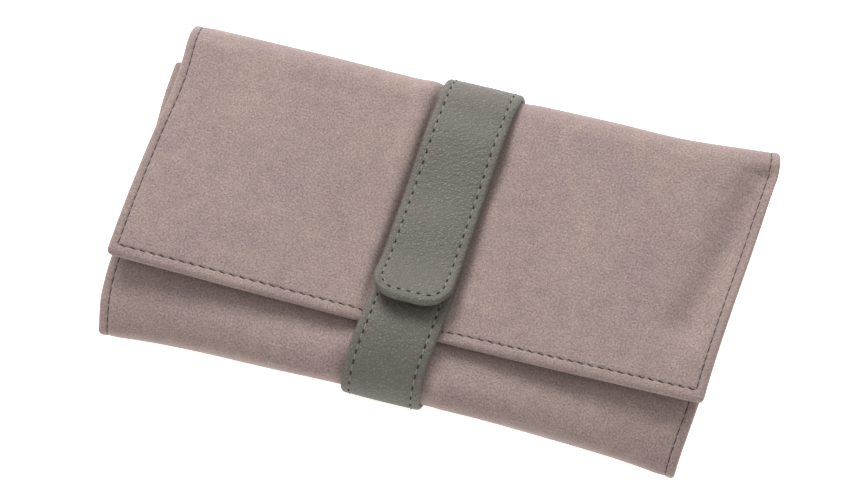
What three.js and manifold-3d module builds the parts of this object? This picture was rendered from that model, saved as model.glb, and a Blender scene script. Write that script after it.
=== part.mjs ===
// Jewelry roll: one padded suede sheet folded in three round a shallow compartment, closed by a
// leather strap whose two ends hold each other with hidden magnets.
// Millimetres. +X runs along the folds, +Y to the back fold, +Z up. The origin lies on the ground
// under the middle of the roll.
import * as THREE from "three";
import { mergeVertices } from "three/addons/utils/BufferGeometryUtils.js";
import Module from "manifold-3d";

const wasm = await Module();
wasm.setup();

// Driving dimensions of the folded sheet
const ROLL_WIDTH = 220; // along the folds
const ROLL_DEPTH = 126; // outside of the front fold to outside of the back fold
const COMPARTMENT_HEIGHT = 14; // between the base and the inner leaf
const FLAP_CLEARANCE = 2.2; // between the inner leaf and the flap above it
const FLAP_SETBACK = 21; // flap's front edge behind the outside of the front fold
const LEAF_SETBACK = 18; // leaf's free edge ahead of the outside of the back fold
const HEM_CORNER = 3; // radius of the flap's and the leaf's free corners
const COVER = 1.2; // suede
const PAD = 2.4; // foam
const LINING = 0.9; // velour
const LAYER_GAP = 0.2; // between two layers
const SEAM = 0.3; // between a panel and its fold

// Driving dimensions of the strap
const STRAP_WIDTH = 30;
const STRAP_THICKNESS = 2; // where it runs under the base and round the folds
const STRAP_GAP = 0.2; // between the strap and what it lies on
const STRAP_LINING = 0.7; // the two free ends have three layers
const STRAP_CORE = 1.2;
const STRAP_FACE = 0.9;
const STRAP_LAYER_GAP = 0.1;
const TAB_SETBACK = 8; // tab's end behind the flap's front edge
const TAB_CORNER = 8;
const STRAP_OVERLAP = 30; // of the tab over the lower strap's end
const TAB_RAMP = 12; // length in which the tab climbs onto the lower strap
const STRAP_BEND = 3; // inner radius where a free end changes direction
const STRAP_EDGE_CLEARANCE = 1.5; // between the flap's front edge and the strap's bend over it
const MAGNET_RADIUS = 7;
const MAGNET_CLEARANCE = 0.3; // round the magnet in its core
const MAGNET_GAP = 0.1; // over and under the magnet

// Driving dimensions of the fittings inside
const SHEET = 0.8; // pocket panels
const SHEET_GAP = 0.2; // between a pocket panel and the lining
const POCKET_MARGIN = 12; // from the roll's ends to the pockets
const POCKET_FRONT = -6; // front edge of the zip pocket
const POCKET_HEM = 4; // where the zip pocket is sewn down
const ZIP_LINE = 28; // distance of the zip behind the middle
const ZIP_LENGTH = 180;
const ZIP_OPENING = 12; // between the pocket's two panels
const TAPE = 0.5;
const TAPE_WIDTH = 10;
const COIL_WIDTH = 2;
const COIL_HEIGHT = 1.2;
const COIL_GAP = 0.3; // between the two coils, and between coil and slider
const STOP_LENGTH = 2.5;
const SLIDER_LENGTH = 9;
const SLIDER_NOSE = 5.6; // width at the narrow end
const SLIDER_WALL = 1.5; // flange on each side of the coils
const SLIDER_PLATE = 0.8;
const EAR_THICKNESS = 1;
const EAR_LENGTH = 2.4;
const EAR_SPACING = 2.6; // between the two ears
const PULL_AXIS_HEIGHT = 1.1; // of the puller's pin above the slider plate
const PIN_RADIUS = 0.45;
const PIN_CLEARANCE = 0.1;
const PULL_LENGTH = 8.5;
const PULL_WIDTH = 5;
const PULL_THICKNESS = 1;
const PULL_SLOT = 1.4; // radius of the slot in the puller's end
const RING_ROLLS = 4;
const RING_ROLL_DIAMETER = 7.5;
const RING_ROLL_GAP = 0.4;
const RING_ROLL_LENGTH = 120;
const RING_ROLL_ROUNDING = 2.5;
const RING_FRONT = -45; // front of the first ring roll
const SIDE_POCKET_GAP = 8; // between the ring rolls and the side pocket
const SIDE_POCKET_DEPTH = 32;
const LEAF_POCKET_FRONT = -38;
const LEAF_POCKET_MOUTH = 4;
const BINDING = 0.5;
const BINDING_WIDTH = 6;
const EARRING_PANEL = 1.2;
const EARRING_PANEL_FRONT = -28;
const EARRING_PANEL_BACK = 30;
const EARRING_ROWS = 3;
const EARRING_COLUMNS = 6;
const EARRING_HOLE = 1.2; // radius
const EARRING_MARGIN = 10; // from the panel's edge to the first holes
const PANEL_SPACING = 8; // between the two panels inside the flap
const POCKET_CORNER = 2.5;
const REACH = 2; // how far a cutting tool runs past the face it opens

// Levels and lines that follow from them
const PANEL = COVER + PAD + LINING + 2 * LAYER_GAP;
const BASE_BOTTOM = STRAP_THICKNESS + STRAP_GAP;
const BASE_TOP = BASE_BOTTOM + PANEL;
const LEAF_INNER = BASE_TOP + COMPARTMENT_HEIGHT;
const LEAF_TOP = LEAF_INNER + PANEL;
const FLAP_INNER = LEAF_TOP + FLAP_CLEARANCE;
const FLAP_TOP = FLAP_INNER + PANEL;
const FOLD_FRONT = -ROLL_DEPTH / 2;
const FOLD_BACK = ROLL_DEPTH / 2;
const FLAP_FRONT = FOLD_FRONT + FLAP_SETBACK;
const LEAF_BACK = FOLD_BACK - LEAF_SETBACK;
const TAB_FRONT = FLAP_FRONT + TAB_SETBACK;
const LOWER_END = TAB_FRONT + STRAP_OVERLAP;
const MAGNET_LINE = TAB_FRONT + STRAP_OVERLAP / 2;
const END_THICKNESS = STRAP_LINING + STRAP_CORE + STRAP_FACE + 2 * STRAP_LAYER_GAP;
const TAPE_BOTTOM = BASE_TOP + SHEET_GAP;
const TAPE_TOP = TAPE_BOTTOM + TAPE;
const COIL_TOP = TAPE_TOP + SHEET_GAP + COIL_HEIGHT;
const ZIP_END = ZIP_LENGTH / 2;
const TAPE_EDGE = COIL_GAP / 2 + TAPE_WIDTH; // outer edge of a zip tape from the zip line
const POCKET_BACK = ZIP_LINE + TAPE_EDGE + SHEET_GAP + POCKET_HEM;

const ARC_STEPS = 18;
const ROUND_STEPS = 20;
const X_AXIS = new THREE.Vector3(1, 0, 0);
const Y_AXIS = new THREE.Vector3(0, 1, 0);
const Z_AXIS = new THREE.Vector3(0, 0, 1);

const roll = new THREE.Group();

// Finishes
const finish = (color, roughness, metalness = 0) => {
  return new THREE.MeshStandardMaterial({ color, roughness, metalness });
};
const suede = () => finish(0xab9792, 0.95);
const velour = () => finish(0xc4b4a8, 0.95);
const foam = () => finish(0xd9d2c4, 1);
const leather = () => finish(0x807b74, 0.55);
const webbing = () => finish(0x8d7f79, 0.9);
const nickel = () => finish(0xb9b6ae, 0.3, 1);
const ferrite = () => finish(0x4c4a4a, 0.6, 0.4);

function add(name, geometry, material) {
  const mesh = new THREE.Mesh(geometry, material);
  mesh.name = name;
  roll.add(mesh);
  return mesh;
}

// Booleans
function solidOf(geometry) {
  const bare = geometry.clone();
  bare.deleteAttribute("normal");
  bare.deleteAttribute("uv");
  const merged = mergeVertices(bare);
  return new wasm.Manifold(new wasm.Mesh({
    numProp: 3,
    vertProperties: merged.attributes.position.array,
    triVerts: new Uint32Array(merged.index.array),
  }));
}

function geometryOf(solid) {
  const mesh = solid.getMesh();
  const geometry = new THREE.BufferGeometry();
  geometry.setAttribute("position", new THREE.BufferAttribute(mesh.vertProperties, 3));
  geometry.setIndex(new THREE.BufferAttribute(mesh.triVerts, 1));
  geometry.computeVertexNormals();
  return geometry;
}

function cut(body, ...tools) {
  const result = tools.reduce((left, tool) => left.subtract(solidOf(tool)), solidOf(body));
  return geometryOf(result);
}

function join(...bodies) {
  const result = bodies.map(solidOf).reduce((left, body) => left.add(body));
  return geometryOf(result);
}

function common(first, second) {
  return geometryOf(solidOf(first).intersect(solidOf(second)));
}

// Basic shapes, each spanned by [low, high] pairs
function block(x, y, z) {
  const geometry = new THREE.BoxGeometry(x[1] - x[0], y[1] - y[0], z[1] - z[0]);
  return geometry.translate((x[0] + x[1]) / 2, (y[0] + y[1]) / 2, (z[0] + z[1]) / 2);
}

function upright(outline, z) {
  const settings = { depth: z[1] - z[0], bevelEnabled: false, curveSegments: 6 };
  return new THREE.ExtrudeGeometry(outline, settings).translate(0, 0, z[0]);
}

// Extrudes an outline of (y, z) points along X
function acrossX(outline, x) {
  const settings = { depth: x[1] - x[0], bevelEnabled: false };
  const geometry = new THREE.ExtrudeGeometry(new THREE.Shape(outline), settings);
  const turn = new THREE.Matrix4().makeBasis(Y_AXIS, Z_AXIS, X_AXIS);
  return geometry.applyMatrix4(turn).translate(x[0], 0, 0);
}

function roundBar(radius, length) {
  return new THREE.CylinderGeometry(radius, radius, length, ROUND_STEPS);
}

const span = (width) => [-width / 2, width / 2];

function arc(centre, radius, from, to, steps = ARC_STEPS) {
  return Array.from({ length: steps + 1 }, (_, step) => {
    const angle = from + ((to - from) * step) / steps;
    const x = centre.x + radius * Math.cos(angle);
    return new THREE.Vector2(x, centre.y + radius * Math.sin(angle));
  });
}

// Rectangle in plan whose front and back corners have their own radii
function plan(x, y, frontRadius, backRadius) {
  const corners = [
    [x[0], y[0], 1, 1, frontRadius, Math.PI],
    [x[1], y[0], -1, 1, frontRadius, 1.5 * Math.PI],
    [x[1], y[1], -1, -1, backRadius, 0],
    [x[0], y[1], 1, -1, backRadius, 0.5 * Math.PI],
  ];
  const points = corners.flatMap(([cornerX, cornerY, inX, inY, radius, start]) => {
    if (radius === 0) {
      return [new THREE.Vector2(cornerX, cornerY)];
    }
    const centre = new THREE.Vector2(cornerX + inX * radius, cornerY + inY * radius);
    return arc(centre, radius, start, start + Math.PI / 2, 6);
  });
  return new THREE.Shape(points);
}

// The three padded panels. A panel's cover turns down round its free edges and holds pad and lining.
const panels = {
  base: { front: null, back: null, outer: BASE_BOTTOM, inward: 1 },
  leaf: { front: null, back: LEAF_BACK, outer: LEAF_TOP, inward: -1 },
  flap: { front: FLAP_FRONT, back: null, outer: FLAP_TOP, inward: -1 },
};

// The two folds that join them, as half rings seen along X
const frontFold = {
  radius: (LEAF_TOP - BASE_BOTTOM) / 2,
  start: 1.5 * Math.PI,
  sweep: -Math.PI,
};
frontFold.centre = new THREE.Vector2(FOLD_FRONT + frontFold.radius, BASE_BOTTOM + frontFold.radius);
const backFold = {
  radius: (FLAP_TOP - BASE_BOTTOM) / 2,
  start: -0.5 * Math.PI,
  sweep: Math.PI,
};
backFold.centre = new THREE.Vector2(FOLD_BACK - backFold.radius, BASE_BOTTOM + backFold.radius);

const FRONT_EDGE = frontFold.centre.x + SEAM;
const BACK_EDGE = backFold.centre.x - SEAM;
const INSET = COVER + LAYER_GAP;

function levels(panel, from, to) {
  const ends = [panel.outer + panel.inward * from, panel.outer + panel.inward * to];
  return ends.sort((a, b) => a - b);
}

function addPanel(name, panel) {
  const front = panel.front ?? FRONT_EDGE;
  const back = panel.back ?? BACK_EDGE;
  const frontRadius = panel.front === null ? 0 : HEM_CORNER;
  const backRadius = panel.back === null ? 0 : HEM_CORNER;
  const hemmed = (inset, reach) => {
    const low = panel.front === null ? front - reach : front + inset;
    const high = panel.back === null ? back + reach : back - inset;
    const inFront = Math.max(frontRadius - inset, 0);
    const inBack = Math.max(backRadius - inset, 0);
    return plan(span(ROLL_WIDTH - 2 * inset), [low, high], inFront, inBack);
  };
  const shell = upright(hemmed(0, 0), levels(panel, 0, PANEL));
  const hollow = upright(hemmed(COVER, REACH), levels(panel, COVER, PANEL + REACH));
  const filling = hemmed(INSET, 0);
  add(`${name}_cover`, cut(shell, hollow), suede());
  add(`${name}_pad`, upright(filling, levels(panel, INSET, INSET + PAD)), foam());
  add(`${name}_lining`, upright(filling, levels(panel, PANEL - LINING, PANEL)), velour());
}

function halfRing(fold, outer, inner, x, extra = 0) {
  const turn = Math.sign(fold.sweep) * extra;
  const from = fold.start - turn;
  const to = fold.start + fold.sweep + turn;
  const outside = arc(fold.centre, outer, from, to);
  const inside = arc(fold.centre, inner, to, from);
  return acrossX([...outside, ...inside], x);
}

function addFold(name, fold) {
  const { radius } = fold;
  const inner = radius - PANEL;
  const fillingWidth = span(ROLL_WIDTH - 2 * INSET);
  const shell = halfRing(fold, radius, inner, span(ROLL_WIDTH));
  const hollow = halfRing(fold, radius - COVER, inner - REACH, span(ROLL_WIDTH - 2 * COVER), 0.1);
  add(`${name}_cover`, cut(shell, hollow), suede());
  add(`${name}_pad`, halfRing(fold, radius - INSET, radius - INSET - PAD, fillingWidth), foam());
  add(`${name}_lining`, halfRing(fold, inner + LINING, inner, fillingWidth), velour());
}

for (const [name, panel] of Object.entries(panels)) {
  addPanel(name, panel);
}
addFold("front_fold", frontFold);
addFold("back_fold", backFold);

// Strap: under the base, round both folds, and two free ends that meet over the flap
const strapSpan = span(STRAP_WIDTH);
const wrapInner = (fold) => fold.radius + STRAP_GAP;

// Where the lower strap leaves the front fold on its straight way up to the flap's front edge
const overFlap = FLAP_TOP + STRAP_GAP;
const edgeBend = new THREE.Vector2(FLAP_FRONT - STRAP_EDGE_CLEARANCE, overFlap);
const toBend = edgeBend.clone().sub(frontFold.centre);
const leaveAngle = toBend.angle() + Math.acos(wrapInner(frontFold) / toBend.length());
const [leavePoint] = arc(frontFold.centre, wrapInner(frontFold), leaveAngle, leaveAngle, 1);

function strapWrap(fold, from, to) {
  const inner = wrapInner(fold);
  const outside = arc(fold.centre, inner + STRAP_THICKNESS, from, to);
  return acrossX([...outside, ...arc(fold.centre, inner, to, from)], strapSpan);
}

const underside = block(strapSpan, [FRONT_EDGE, BACK_EDGE], [0, STRAP_THICKNESS]);
add("strap_underside", underside, leather());
add("strap_front_wrap", strapWrap(frontFold, frontFold.start, leaveAngle), leather());
add("strap_back_wrap", strapWrap(backFold, backFold.start, Math.PI / 2), leather());

// Rounds the inner corners of an open line of (y, z) points
function softened(points, radius) {
  return points.flatMap((point, index) => {
    if (index === 0 || index === points.length - 1) {
      return [point];
    }
    const before = points[index - 1].clone().sub(point).normalize();
    const after = points[index + 1].clone().sub(point).normalize();
    const half = Math.acos(before.dot(after)) / 2;
    const reach = radius / Math.tan(half);
    const curve = new THREE.QuadraticBezierCurve(
      point.clone().addScaledVector(before, reach),
      point,
      point.clone().addScaledVector(after, reach),
    );
    return curve.getPoints(5);
  });
}

// The line moved to its left by a distance
function offsetLine(points, distance) {
  return points.map((point, index) => {
    const before = points[Math.max(index - 1, 0)];
    const after = points[Math.min(index + 1, points.length - 1)];
    const along = after.clone().sub(before).normalize();
    return new THREE.Vector2(point.x - along.y * distance, point.y + along.x * distance);
  });
}

// One layer of a free strap end, between two heights over the line that it lies on
function strapLayer(line, outline, from, to) {
  const lower = offsetLine(line, from);
  const upper = offsetLine(line, to);
  const ribbon = acrossX([...lower, ...upper.reverse()], span(STRAP_WIDTH + 2 * REACH));
  return common(ribbon, upright(outline, [0, 2 * FLAP_TOP]));
}

function addStrapEnd(name, line, outline, seat) {
  const coreLow = STRAP_LINING + STRAP_LAYER_GAP;
  const coreHigh = coreLow + STRAP_CORE;
  const faceLow = coreHigh + STRAP_LAYER_GAP;
  const hole = roundBar(MAGNET_RADIUS + MAGNET_CLEARANCE, STRAP_CORE + 2 * REACH);
  const magnet = roundBar(MAGNET_RADIUS, STRAP_CORE - 2 * MAGNET_GAP);
  const magnetHeight = seat + (coreLow + coreHigh) / 2;
  const place = (tool) => tool.rotateX(Math.PI / 2).translate(0, MAGNET_LINE, magnetHeight);
  add(`${name}_lining`, strapLayer(line, outline, 0, STRAP_LINING), leather());
  add(`${name}_core`, cut(strapLayer(line, outline, coreLow, coreHigh), place(hole)), foam());
  add(`${name}_face`, strapLayer(line, outline, faceLow, END_THICKNESS), leather());
  add(`${name}_magnet`, place(magnet), ferrite());
}

const point = (y, z) => new THREE.Vector2(y, z);

// Upper end, the tab: over the flap, then up onto the lower end
const tabHigh = overFlap + END_THICKNESS + STRAP_GAP;
const tabLine = softened([
  point(TAB_FRONT, tabHigh),
  point(LOWER_END + STRAP_BEND, tabHigh),
  point(LOWER_END + STRAP_BEND + TAB_RAMP, overFlap),
  point(backFold.centre.x - SEAM, overFlap),
], STRAP_BEND + END_THICKNESS);
const tabPlan = plan(strapSpan, [TAB_FRONT, FOLD_BACK], TAB_CORNER, 0);
addStrapEnd("tab", tabLine, tabPlan, tabHigh);

// Lower end: from the front fold over the flap's front edge and under the tab
const startAfter = leavePoint.clone().lerp(edgeBend, SEAM / leavePoint.distanceTo(edgeBend));
const lowerLine = softened([startAfter, edgeBend, point(LOWER_END, overFlap)], STRAP_BEND);
const lowerPlan = plan(strapSpan, [2 * FOLD_FRONT, LOWER_END], 0, TAB_CORNER);
addStrapEnd("lower_strap", lowerLine, lowerPlan, overFlap);

// Zip pocket on the base: two sewn-down panels with the zip between them
const pocketSpan = span(ROLL_WIDTH - 2 * POCKET_MARGIN);
const panelBottom = TAPE_TOP + SHEET_GAP;
const panelLevels = [panelBottom, panelBottom + SHEET];
const panelEdge = ZIP_OPENING / 2;

function pocketPanel(y, frontRadius, backRadius) {
  const cover = upright(plan(pocketSpan, y, frontRadius, backRadius), panelLevels);
  const hemSpan = frontRadius > 0 ? [y[0], y[0] + POCKET_HEM] : [y[1] - POCKET_HEM, y[1]];
  const hemLevels = [TAPE_BOTTOM, panelLevels[1]];
  const hem = upright(plan(pocketSpan, hemSpan, frontRadius, backRadius), hemLevels);
  return join(cover, hem);
}

const frontPanelSpan = [POCKET_FRONT, ZIP_LINE - panelEdge];
const backPanelSpan = [ZIP_LINE + panelEdge, POCKET_BACK];
add("pocket_front_panel", pocketPanel(frontPanelSpan, POCKET_CORNER, 0), velour());
add("pocket_back_panel", pocketPanel(backPanelSpan, 0, POCKET_CORNER), velour());

for (const [side, direction] of [["front", -1], ["back", 1]]) {
  const away = (near, far) => {
    const ends = [ZIP_LINE + direction * near, ZIP_LINE + direction * far];
    return ends.sort((a, b) => a - b);
  };
  const coilNear = COIL_GAP / 2;
  const tape = away(coilNear, TAPE_EDGE);
  const coil = away(coilNear, coilNear + COIL_WIDTH);
  const coilLevels = [TAPE_TOP + SHEET_GAP, COIL_TOP];
  const tapeEnd = ZIP_END + STOP_LENGTH + COIL_GAP;
  const stopSpan = [ZIP_END + COIL_GAP, ZIP_END + COIL_GAP + STOP_LENGTH];
  const tapeSpan = span(2 * tapeEnd);
  add(`zip_tape_${side}`, block(tapeSpan, tape, [TAPE_BOTTOM, TAPE_TOP]), webbing());
  add(`zip_coil_${side}`, block(span(ZIP_LENGTH), coil, coilLevels), webbing());
  add(`zip_top_stop_${side}`, block(stopSpan, coil, coilLevels), nickel());
}
const coilsSpan = span(2 * COIL_WIDTH + COIL_GAP).map((y) => ZIP_LINE + y);
const endStop = [-ZIP_END - COIL_GAP - STOP_LENGTH, -ZIP_END - COIL_GAP];
add("zip_end_stop", block(endStop, coilsSpan, [TAPE_TOP + SHEET_GAP, COIL_TOP]), nickel());

// Zip slider: a cap over both coils, narrow at its closed end, with two ears for the puller's pin
const sliderMiddle = ZIP_END - SLIDER_LENGTH / 2;
const channel = 2 * COIL_WIDTH + 3 * COIL_GAP;
const sliderWidth = channel + 2 * SLIDER_WALL;
const plateBottom = COIL_TOP + SHEET_GAP;
const plateTop = plateBottom + SLIDER_PLATE;
const pinHeight = plateTop + PULL_AXIS_HEIGHT;
const earTop = pinHeight + EAR_LENGTH / 2;

function sliderBody() {
  const half = SLIDER_LENGTH / 2;
  const outline = new THREE.Shape([
    point(-half, -sliderWidth / 2),
    point(half / 2, -sliderWidth / 2),
    point(half, -SLIDER_NOSE / 2),
    point(half, SLIDER_NOSE / 2),
    point(half / 2, sliderWidth / 2),
    point(-half, sliderWidth / 2),
  ]);
  const body = upright(outline, [TAPE_TOP + SHEET_GAP, plateTop]);
  const track = block(span(2 * SLIDER_LENGTH), span(channel), [0, plateBottom]);
  const ears = [-1, 1].map((side) => {
    const near = (side * EAR_SPACING) / 2;
    const ends = [near, near + side * EAR_THICKNESS].sort((a, b) => a - b);
    return block(span(EAR_LENGTH), ends, [plateTop - SLIDER_PLATE / 2, earTop]);
  });
  const bore = roundBar(PIN_RADIUS + PIN_CLEARANCE, 2 * SLIDER_LENGTH);
  return cut(join(cut(body, track), ...ears), bore.translate(0, 0, pinHeight));
}
const slider = add("zip_slider", sliderBody(), nickel());
slider.position.set(sliderMiddle, ZIP_LINE, 0);

// Puller: a pin through both ears and a flat grip with a slot
function pullerBody() {
  const clearOfEars = Math.hypot(EAR_LENGTH / 2, EAR_LENGTH / 2) + COIL_GAP;
  const neck = span(EAR_SPACING - 2 * PIN_CLEARANCE);
  const thickness = span(PULL_THICKNESS);
  const grip = plan([clearOfEars, PULL_LENGTH], span(PULL_WIDTH), 1, 1);
  const slot = roundBar(PULL_SLOT, 2 * PULL_THICKNESS).rotateX(Math.PI / 2);
  slot.translate((clearOfEars + PULL_LENGTH) / 2, 0, 0);
  const pin = roundBar(PIN_RADIUS, EAR_SPACING + 2 * EAR_THICKNESS);
  const stem = block([-PULL_THICKNESS / 2, clearOfEars + PULL_WIDTH / 4], neck, thickness);
  return cut(join(upright(grip, thickness), stem, pin), slot);
}
const puller = add("zip_puller", pullerBody(), nickel());
puller.position.set(sliderMiddle, ZIP_LINE, pinHeight);

// Ring cushion: foam rolls side by side on the base, which grip rings between them
const ringPitch = RING_ROLL_DIAMETER + RING_ROLL_GAP;
const ringStart = -ROLL_WIDTH / 2 + POCKET_MARGIN;
for (let index = 0; index < RING_ROLLS; index += 1) {
  const section = new THREE.Shape();
  section.absarc(0, 0, RING_ROLL_DIAMETER / 2 - RING_ROLL_ROUNDING, 0, 2 * Math.PI);
  const ringRoll = new THREE.ExtrudeGeometry(section, {
    depth: RING_ROLL_LENGTH - 2 * RING_ROLL_ROUNDING,
    bevelSize: RING_ROLL_ROUNDING,
    bevelThickness: RING_ROLL_ROUNDING,
    bevelSegments: 4,
    curveSegments: 9,
  });
  const mesh = add(`ring_roll_${index + 1}`, ringRoll, velour());
  const line = RING_FRONT + RING_ROLL_DIAMETER / 2 + index * ringPitch;
  const height = BASE_TOP + SHEET_GAP + RING_ROLL_DIAMETER / 2;
  mesh.position.set(ringStart + RING_ROLL_ROUNDING, line, height);
  mesh.rotation.y = Math.PI / 2;
}

// Open side pocket beside the ring cushion
const sideSpan = [ringStart + RING_ROLL_LENGTH + SIDE_POCKET_GAP, ROLL_WIDTH / 2 - POCKET_MARGIN];
const sidePlan = plan(sideSpan, [RING_FRONT, RING_FRONT + SIDE_POCKET_DEPTH], POCKET_CORNER, 0);
const sideLevels = [BASE_TOP + SHEET_GAP, BASE_TOP + SHEET_GAP + SHEET];
add("side_pocket", upright(sidePlan, sideLevels), velour());

// Slip pocket under the leaf, with a bound mouth
const leafPocketTop = LEAF_INNER - SHEET_GAP;
const leafPocketBottom = leafPocketTop - SHEET;
const leafPocketPlan = plan(pocketSpan, [LEAF_POCKET_FRONT, LEAF_POCKET_MOUTH], POCKET_CORNER, 0);
const bindingSpan = [LEAF_POCKET_MOUTH - BINDING_WIDTH, LEAF_POCKET_MOUTH];
const bindingTop = leafPocketBottom - SHEET_GAP;
add("leaf_pocket", upright(leafPocketPlan, [leafPocketBottom, leafPocketTop]), velour());
add("leaf_pocket_binding", block(pocketSpan, bindingSpan, [bindingTop - BINDING, bindingTop]), leather());

// Inside the flap: a panel with earring holes and a slip pocket beside it
const flapPanelTop = FLAP_INNER - SHEET_GAP;
const flapPanelSpan = [EARRING_PANEL_FRONT, EARRING_PANEL_BACK];
const earringSpan = [-ROLL_WIDTH / 2 + POCKET_MARGIN, -PANEL_SPACING / 2];
const spread = (ends, count, index) => {
  const low = ends[0] + EARRING_MARGIN;
  const high = ends[1] - EARRING_MARGIN;
  return low + ((high - low) * index) / (count - 1);
};
const earringHoles = Array.from({ length: EARRING_ROWS * EARRING_COLUMNS }, (_, index) => {
  const column = index % EARRING_COLUMNS;
  const row = Math.floor(index / EARRING_COLUMNS);
  const hole = new THREE.Path();
  const x = spread(earringSpan, EARRING_COLUMNS, column);
  hole.absarc(x, spread(flapPanelSpan, EARRING_ROWS, row), EARRING_HOLE, 0, 2 * Math.PI);
  return hole;
});
const earringPlan = plan(earringSpan, flapPanelSpan, POCKET_CORNER, POCKET_CORNER);
earringPlan.holes.push(...earringHoles);
add("earring_panel", upright(earringPlan, [flapPanelTop - EARRING_PANEL, flapPanelTop]), leather());
const flapPocketSpan = [PANEL_SPACING / 2, ROLL_WIDTH / 2 - POCKET_MARGIN];
const flapPocketPlan = plan(flapPocketSpan, flapPanelSpan, POCKET_CORNER, POCKET_CORNER);
add("flap_pocket", upright(flapPocketPlan, [flapPanelTop - SHEET, flapPanelTop]), velour());

export default roll;
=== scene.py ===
import math

import bmesh
import bpy
import numpy as np
from mathutils import Matrix, Vector


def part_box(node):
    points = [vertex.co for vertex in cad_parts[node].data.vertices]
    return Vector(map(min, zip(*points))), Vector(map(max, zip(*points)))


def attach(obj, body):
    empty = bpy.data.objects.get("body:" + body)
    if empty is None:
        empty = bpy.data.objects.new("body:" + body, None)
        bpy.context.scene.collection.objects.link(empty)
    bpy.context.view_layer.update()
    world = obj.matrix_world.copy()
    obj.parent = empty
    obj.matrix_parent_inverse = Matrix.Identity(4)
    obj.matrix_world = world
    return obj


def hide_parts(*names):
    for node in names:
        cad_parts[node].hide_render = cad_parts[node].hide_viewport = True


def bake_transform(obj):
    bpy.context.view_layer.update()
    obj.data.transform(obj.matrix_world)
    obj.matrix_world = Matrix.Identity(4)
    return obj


# A padded suede roll folded in three and closed by a leather strap.
# Lengths are in millimetres until a mesh is made. x runs along the folds. s runs along the sheet:
# from the leaf's free edge round the front fold, under the base, round the back fold and along the
# flap to its front edge. A lift is a height over the sheet's outer face, negative on the inside.
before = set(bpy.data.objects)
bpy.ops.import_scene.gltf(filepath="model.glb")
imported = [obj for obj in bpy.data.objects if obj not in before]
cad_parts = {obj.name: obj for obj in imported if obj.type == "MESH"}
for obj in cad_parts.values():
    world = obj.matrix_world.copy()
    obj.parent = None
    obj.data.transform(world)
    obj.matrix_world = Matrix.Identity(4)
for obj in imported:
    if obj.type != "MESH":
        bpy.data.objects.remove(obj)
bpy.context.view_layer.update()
MM = 0.001


def box(node):
    """Lowest and highest corner of a solid in millimetres."""
    return [np.round(np.array(corner) / MM, 4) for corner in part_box(node)]


# The folded sheet, as the solids have it
flap_low, flap_high = box("flap_cover")
leaf_high = box("leaf_cover")[1]
base_low, base_high = box("base_cover")
front_low, front_high = box("front_fold_cover")
back_low, back_high = box("back_fold_cover")
HALF = flap_high[0]
PANEL = base_high[2] - base_low[2]
FRONT_RADIUS = (front_high[2] - front_low[2]) / 2
BACK_RADIUS = (back_high[2] - back_low[2]) / 2
FRONT_CREASE = front_low[1] + FRONT_RADIUS
BACK_CREASE = back_high[1] - BACK_RADIUS
BASE_RUN = BACK_CREASE - FRONT_CREASE
FLAP_RUN = BACK_CREASE - flap_low[1]

# Where the sheet passes from one part to the next
LEAF_FOLD = leaf_high[1] - FRONT_CREASE
BASE_FRONT = LEAF_FOLD + math.pi * FRONT_RADIUS
BASE_BACK = BASE_FRONT + BASE_RUN
FLAP_FOLD = BASE_BACK + math.pi * BACK_RADIUS
SHEET_END = FLAP_FOLD + FLAP_RUN
FRONT_MID = (LEAF_FOLD + BASE_FRONT) / 2
BACK_MID = (BASE_BACK + FLAP_FOLD) / 2
BASE_MID = (BASE_FRONT + BASE_BACK) / 2

# Layers and edges of the sheet
LINING = 0.9
SUEDE = PANEL - LINING
EDGE_ROUND = 1.7
HEM = 4.0
SIDE_HEM = 3.4
HEM_SINK = 0.3
HEM_RISE = 6.0
FULL_PAD = 10.0
SEAM_GROOVE = 0.4
SEAM_WIDTH = 0.42
SHEET_CORNER = 2.2
LINING_INSET = 2.4
LINING_ROUND = 0.6
LAYER_GAP = 0.04

# Strap. It runs askew: x of its middle where the sheet starts, at its two folds and where it ends
STRAP_ASKEW = [-1.0, -3.2, 3.2, -1.4]
STRAP_HALF = 14.6
STRAP_GAP = 0.1
STRAP_SINK = 0.9
STRAP_ROUND = 1.4
STRAP_CROWN = 0.2
STRAP_SEAM = 3.2
STRAP_GROOVE = 0.2
STRAP_GROOVE_WIDTH = 0.5
STRAP_LINING = 0.5
STRAP_LINING_FILL = 0.8
STRAP_LINING_ROUND = 0.3
TURN_IN = 2.2
TURN_IN_EDGE = 0.3
FOLD_THICKNESS = 2.4
UNDER_THICKNESS = 1.7
END_THICKNESS = 4.0
LOWER_THICKNESS = 2.8
TAIL_THICKNESS = 2.0
TAIL_LENGTH = 24.0
TAIL_ROOM = 0.35
TAB_CORNER = 10.0
SEAM_TURN = 5.6
LINE_STEP = 0.3


def ease(value, low, high):
    """0 before low, 1 after high, smooth between them."""
    share = np.clip((value - low) / (high - low), 0, 1)
    return share * share * (3 - 2 * share)


def between(value, start, full, fading, end):
    """0 outside start and end, 1 from full to fading, smooth between them."""
    return ease(value, start, full) * (1 - ease(value, fading, end))


def bell(distance, width):
    """1 at no distance, nearly 0 at twice the width."""
    return np.exp(-((distance / width) ** 2))


def unit(vectors):
    """Vectors of length 1 in the same directions."""
    return vectors / np.linalg.norm(vectors, axis=-1, keepdims=True)


def travelled(points):
    """Length along a line of points, up to each of them."""
    return np.concatenate([[0], np.cumsum(np.linalg.norm(np.diff(points, axis=0), axis=1))])


def rounded(distance, radius):
    """Share of the full thickness at a distance from a round edge."""
    return np.sqrt(np.clip(1 - (1 - np.clip(distance / radius, 0, 1)) ** 2, 0, 1))


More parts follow.
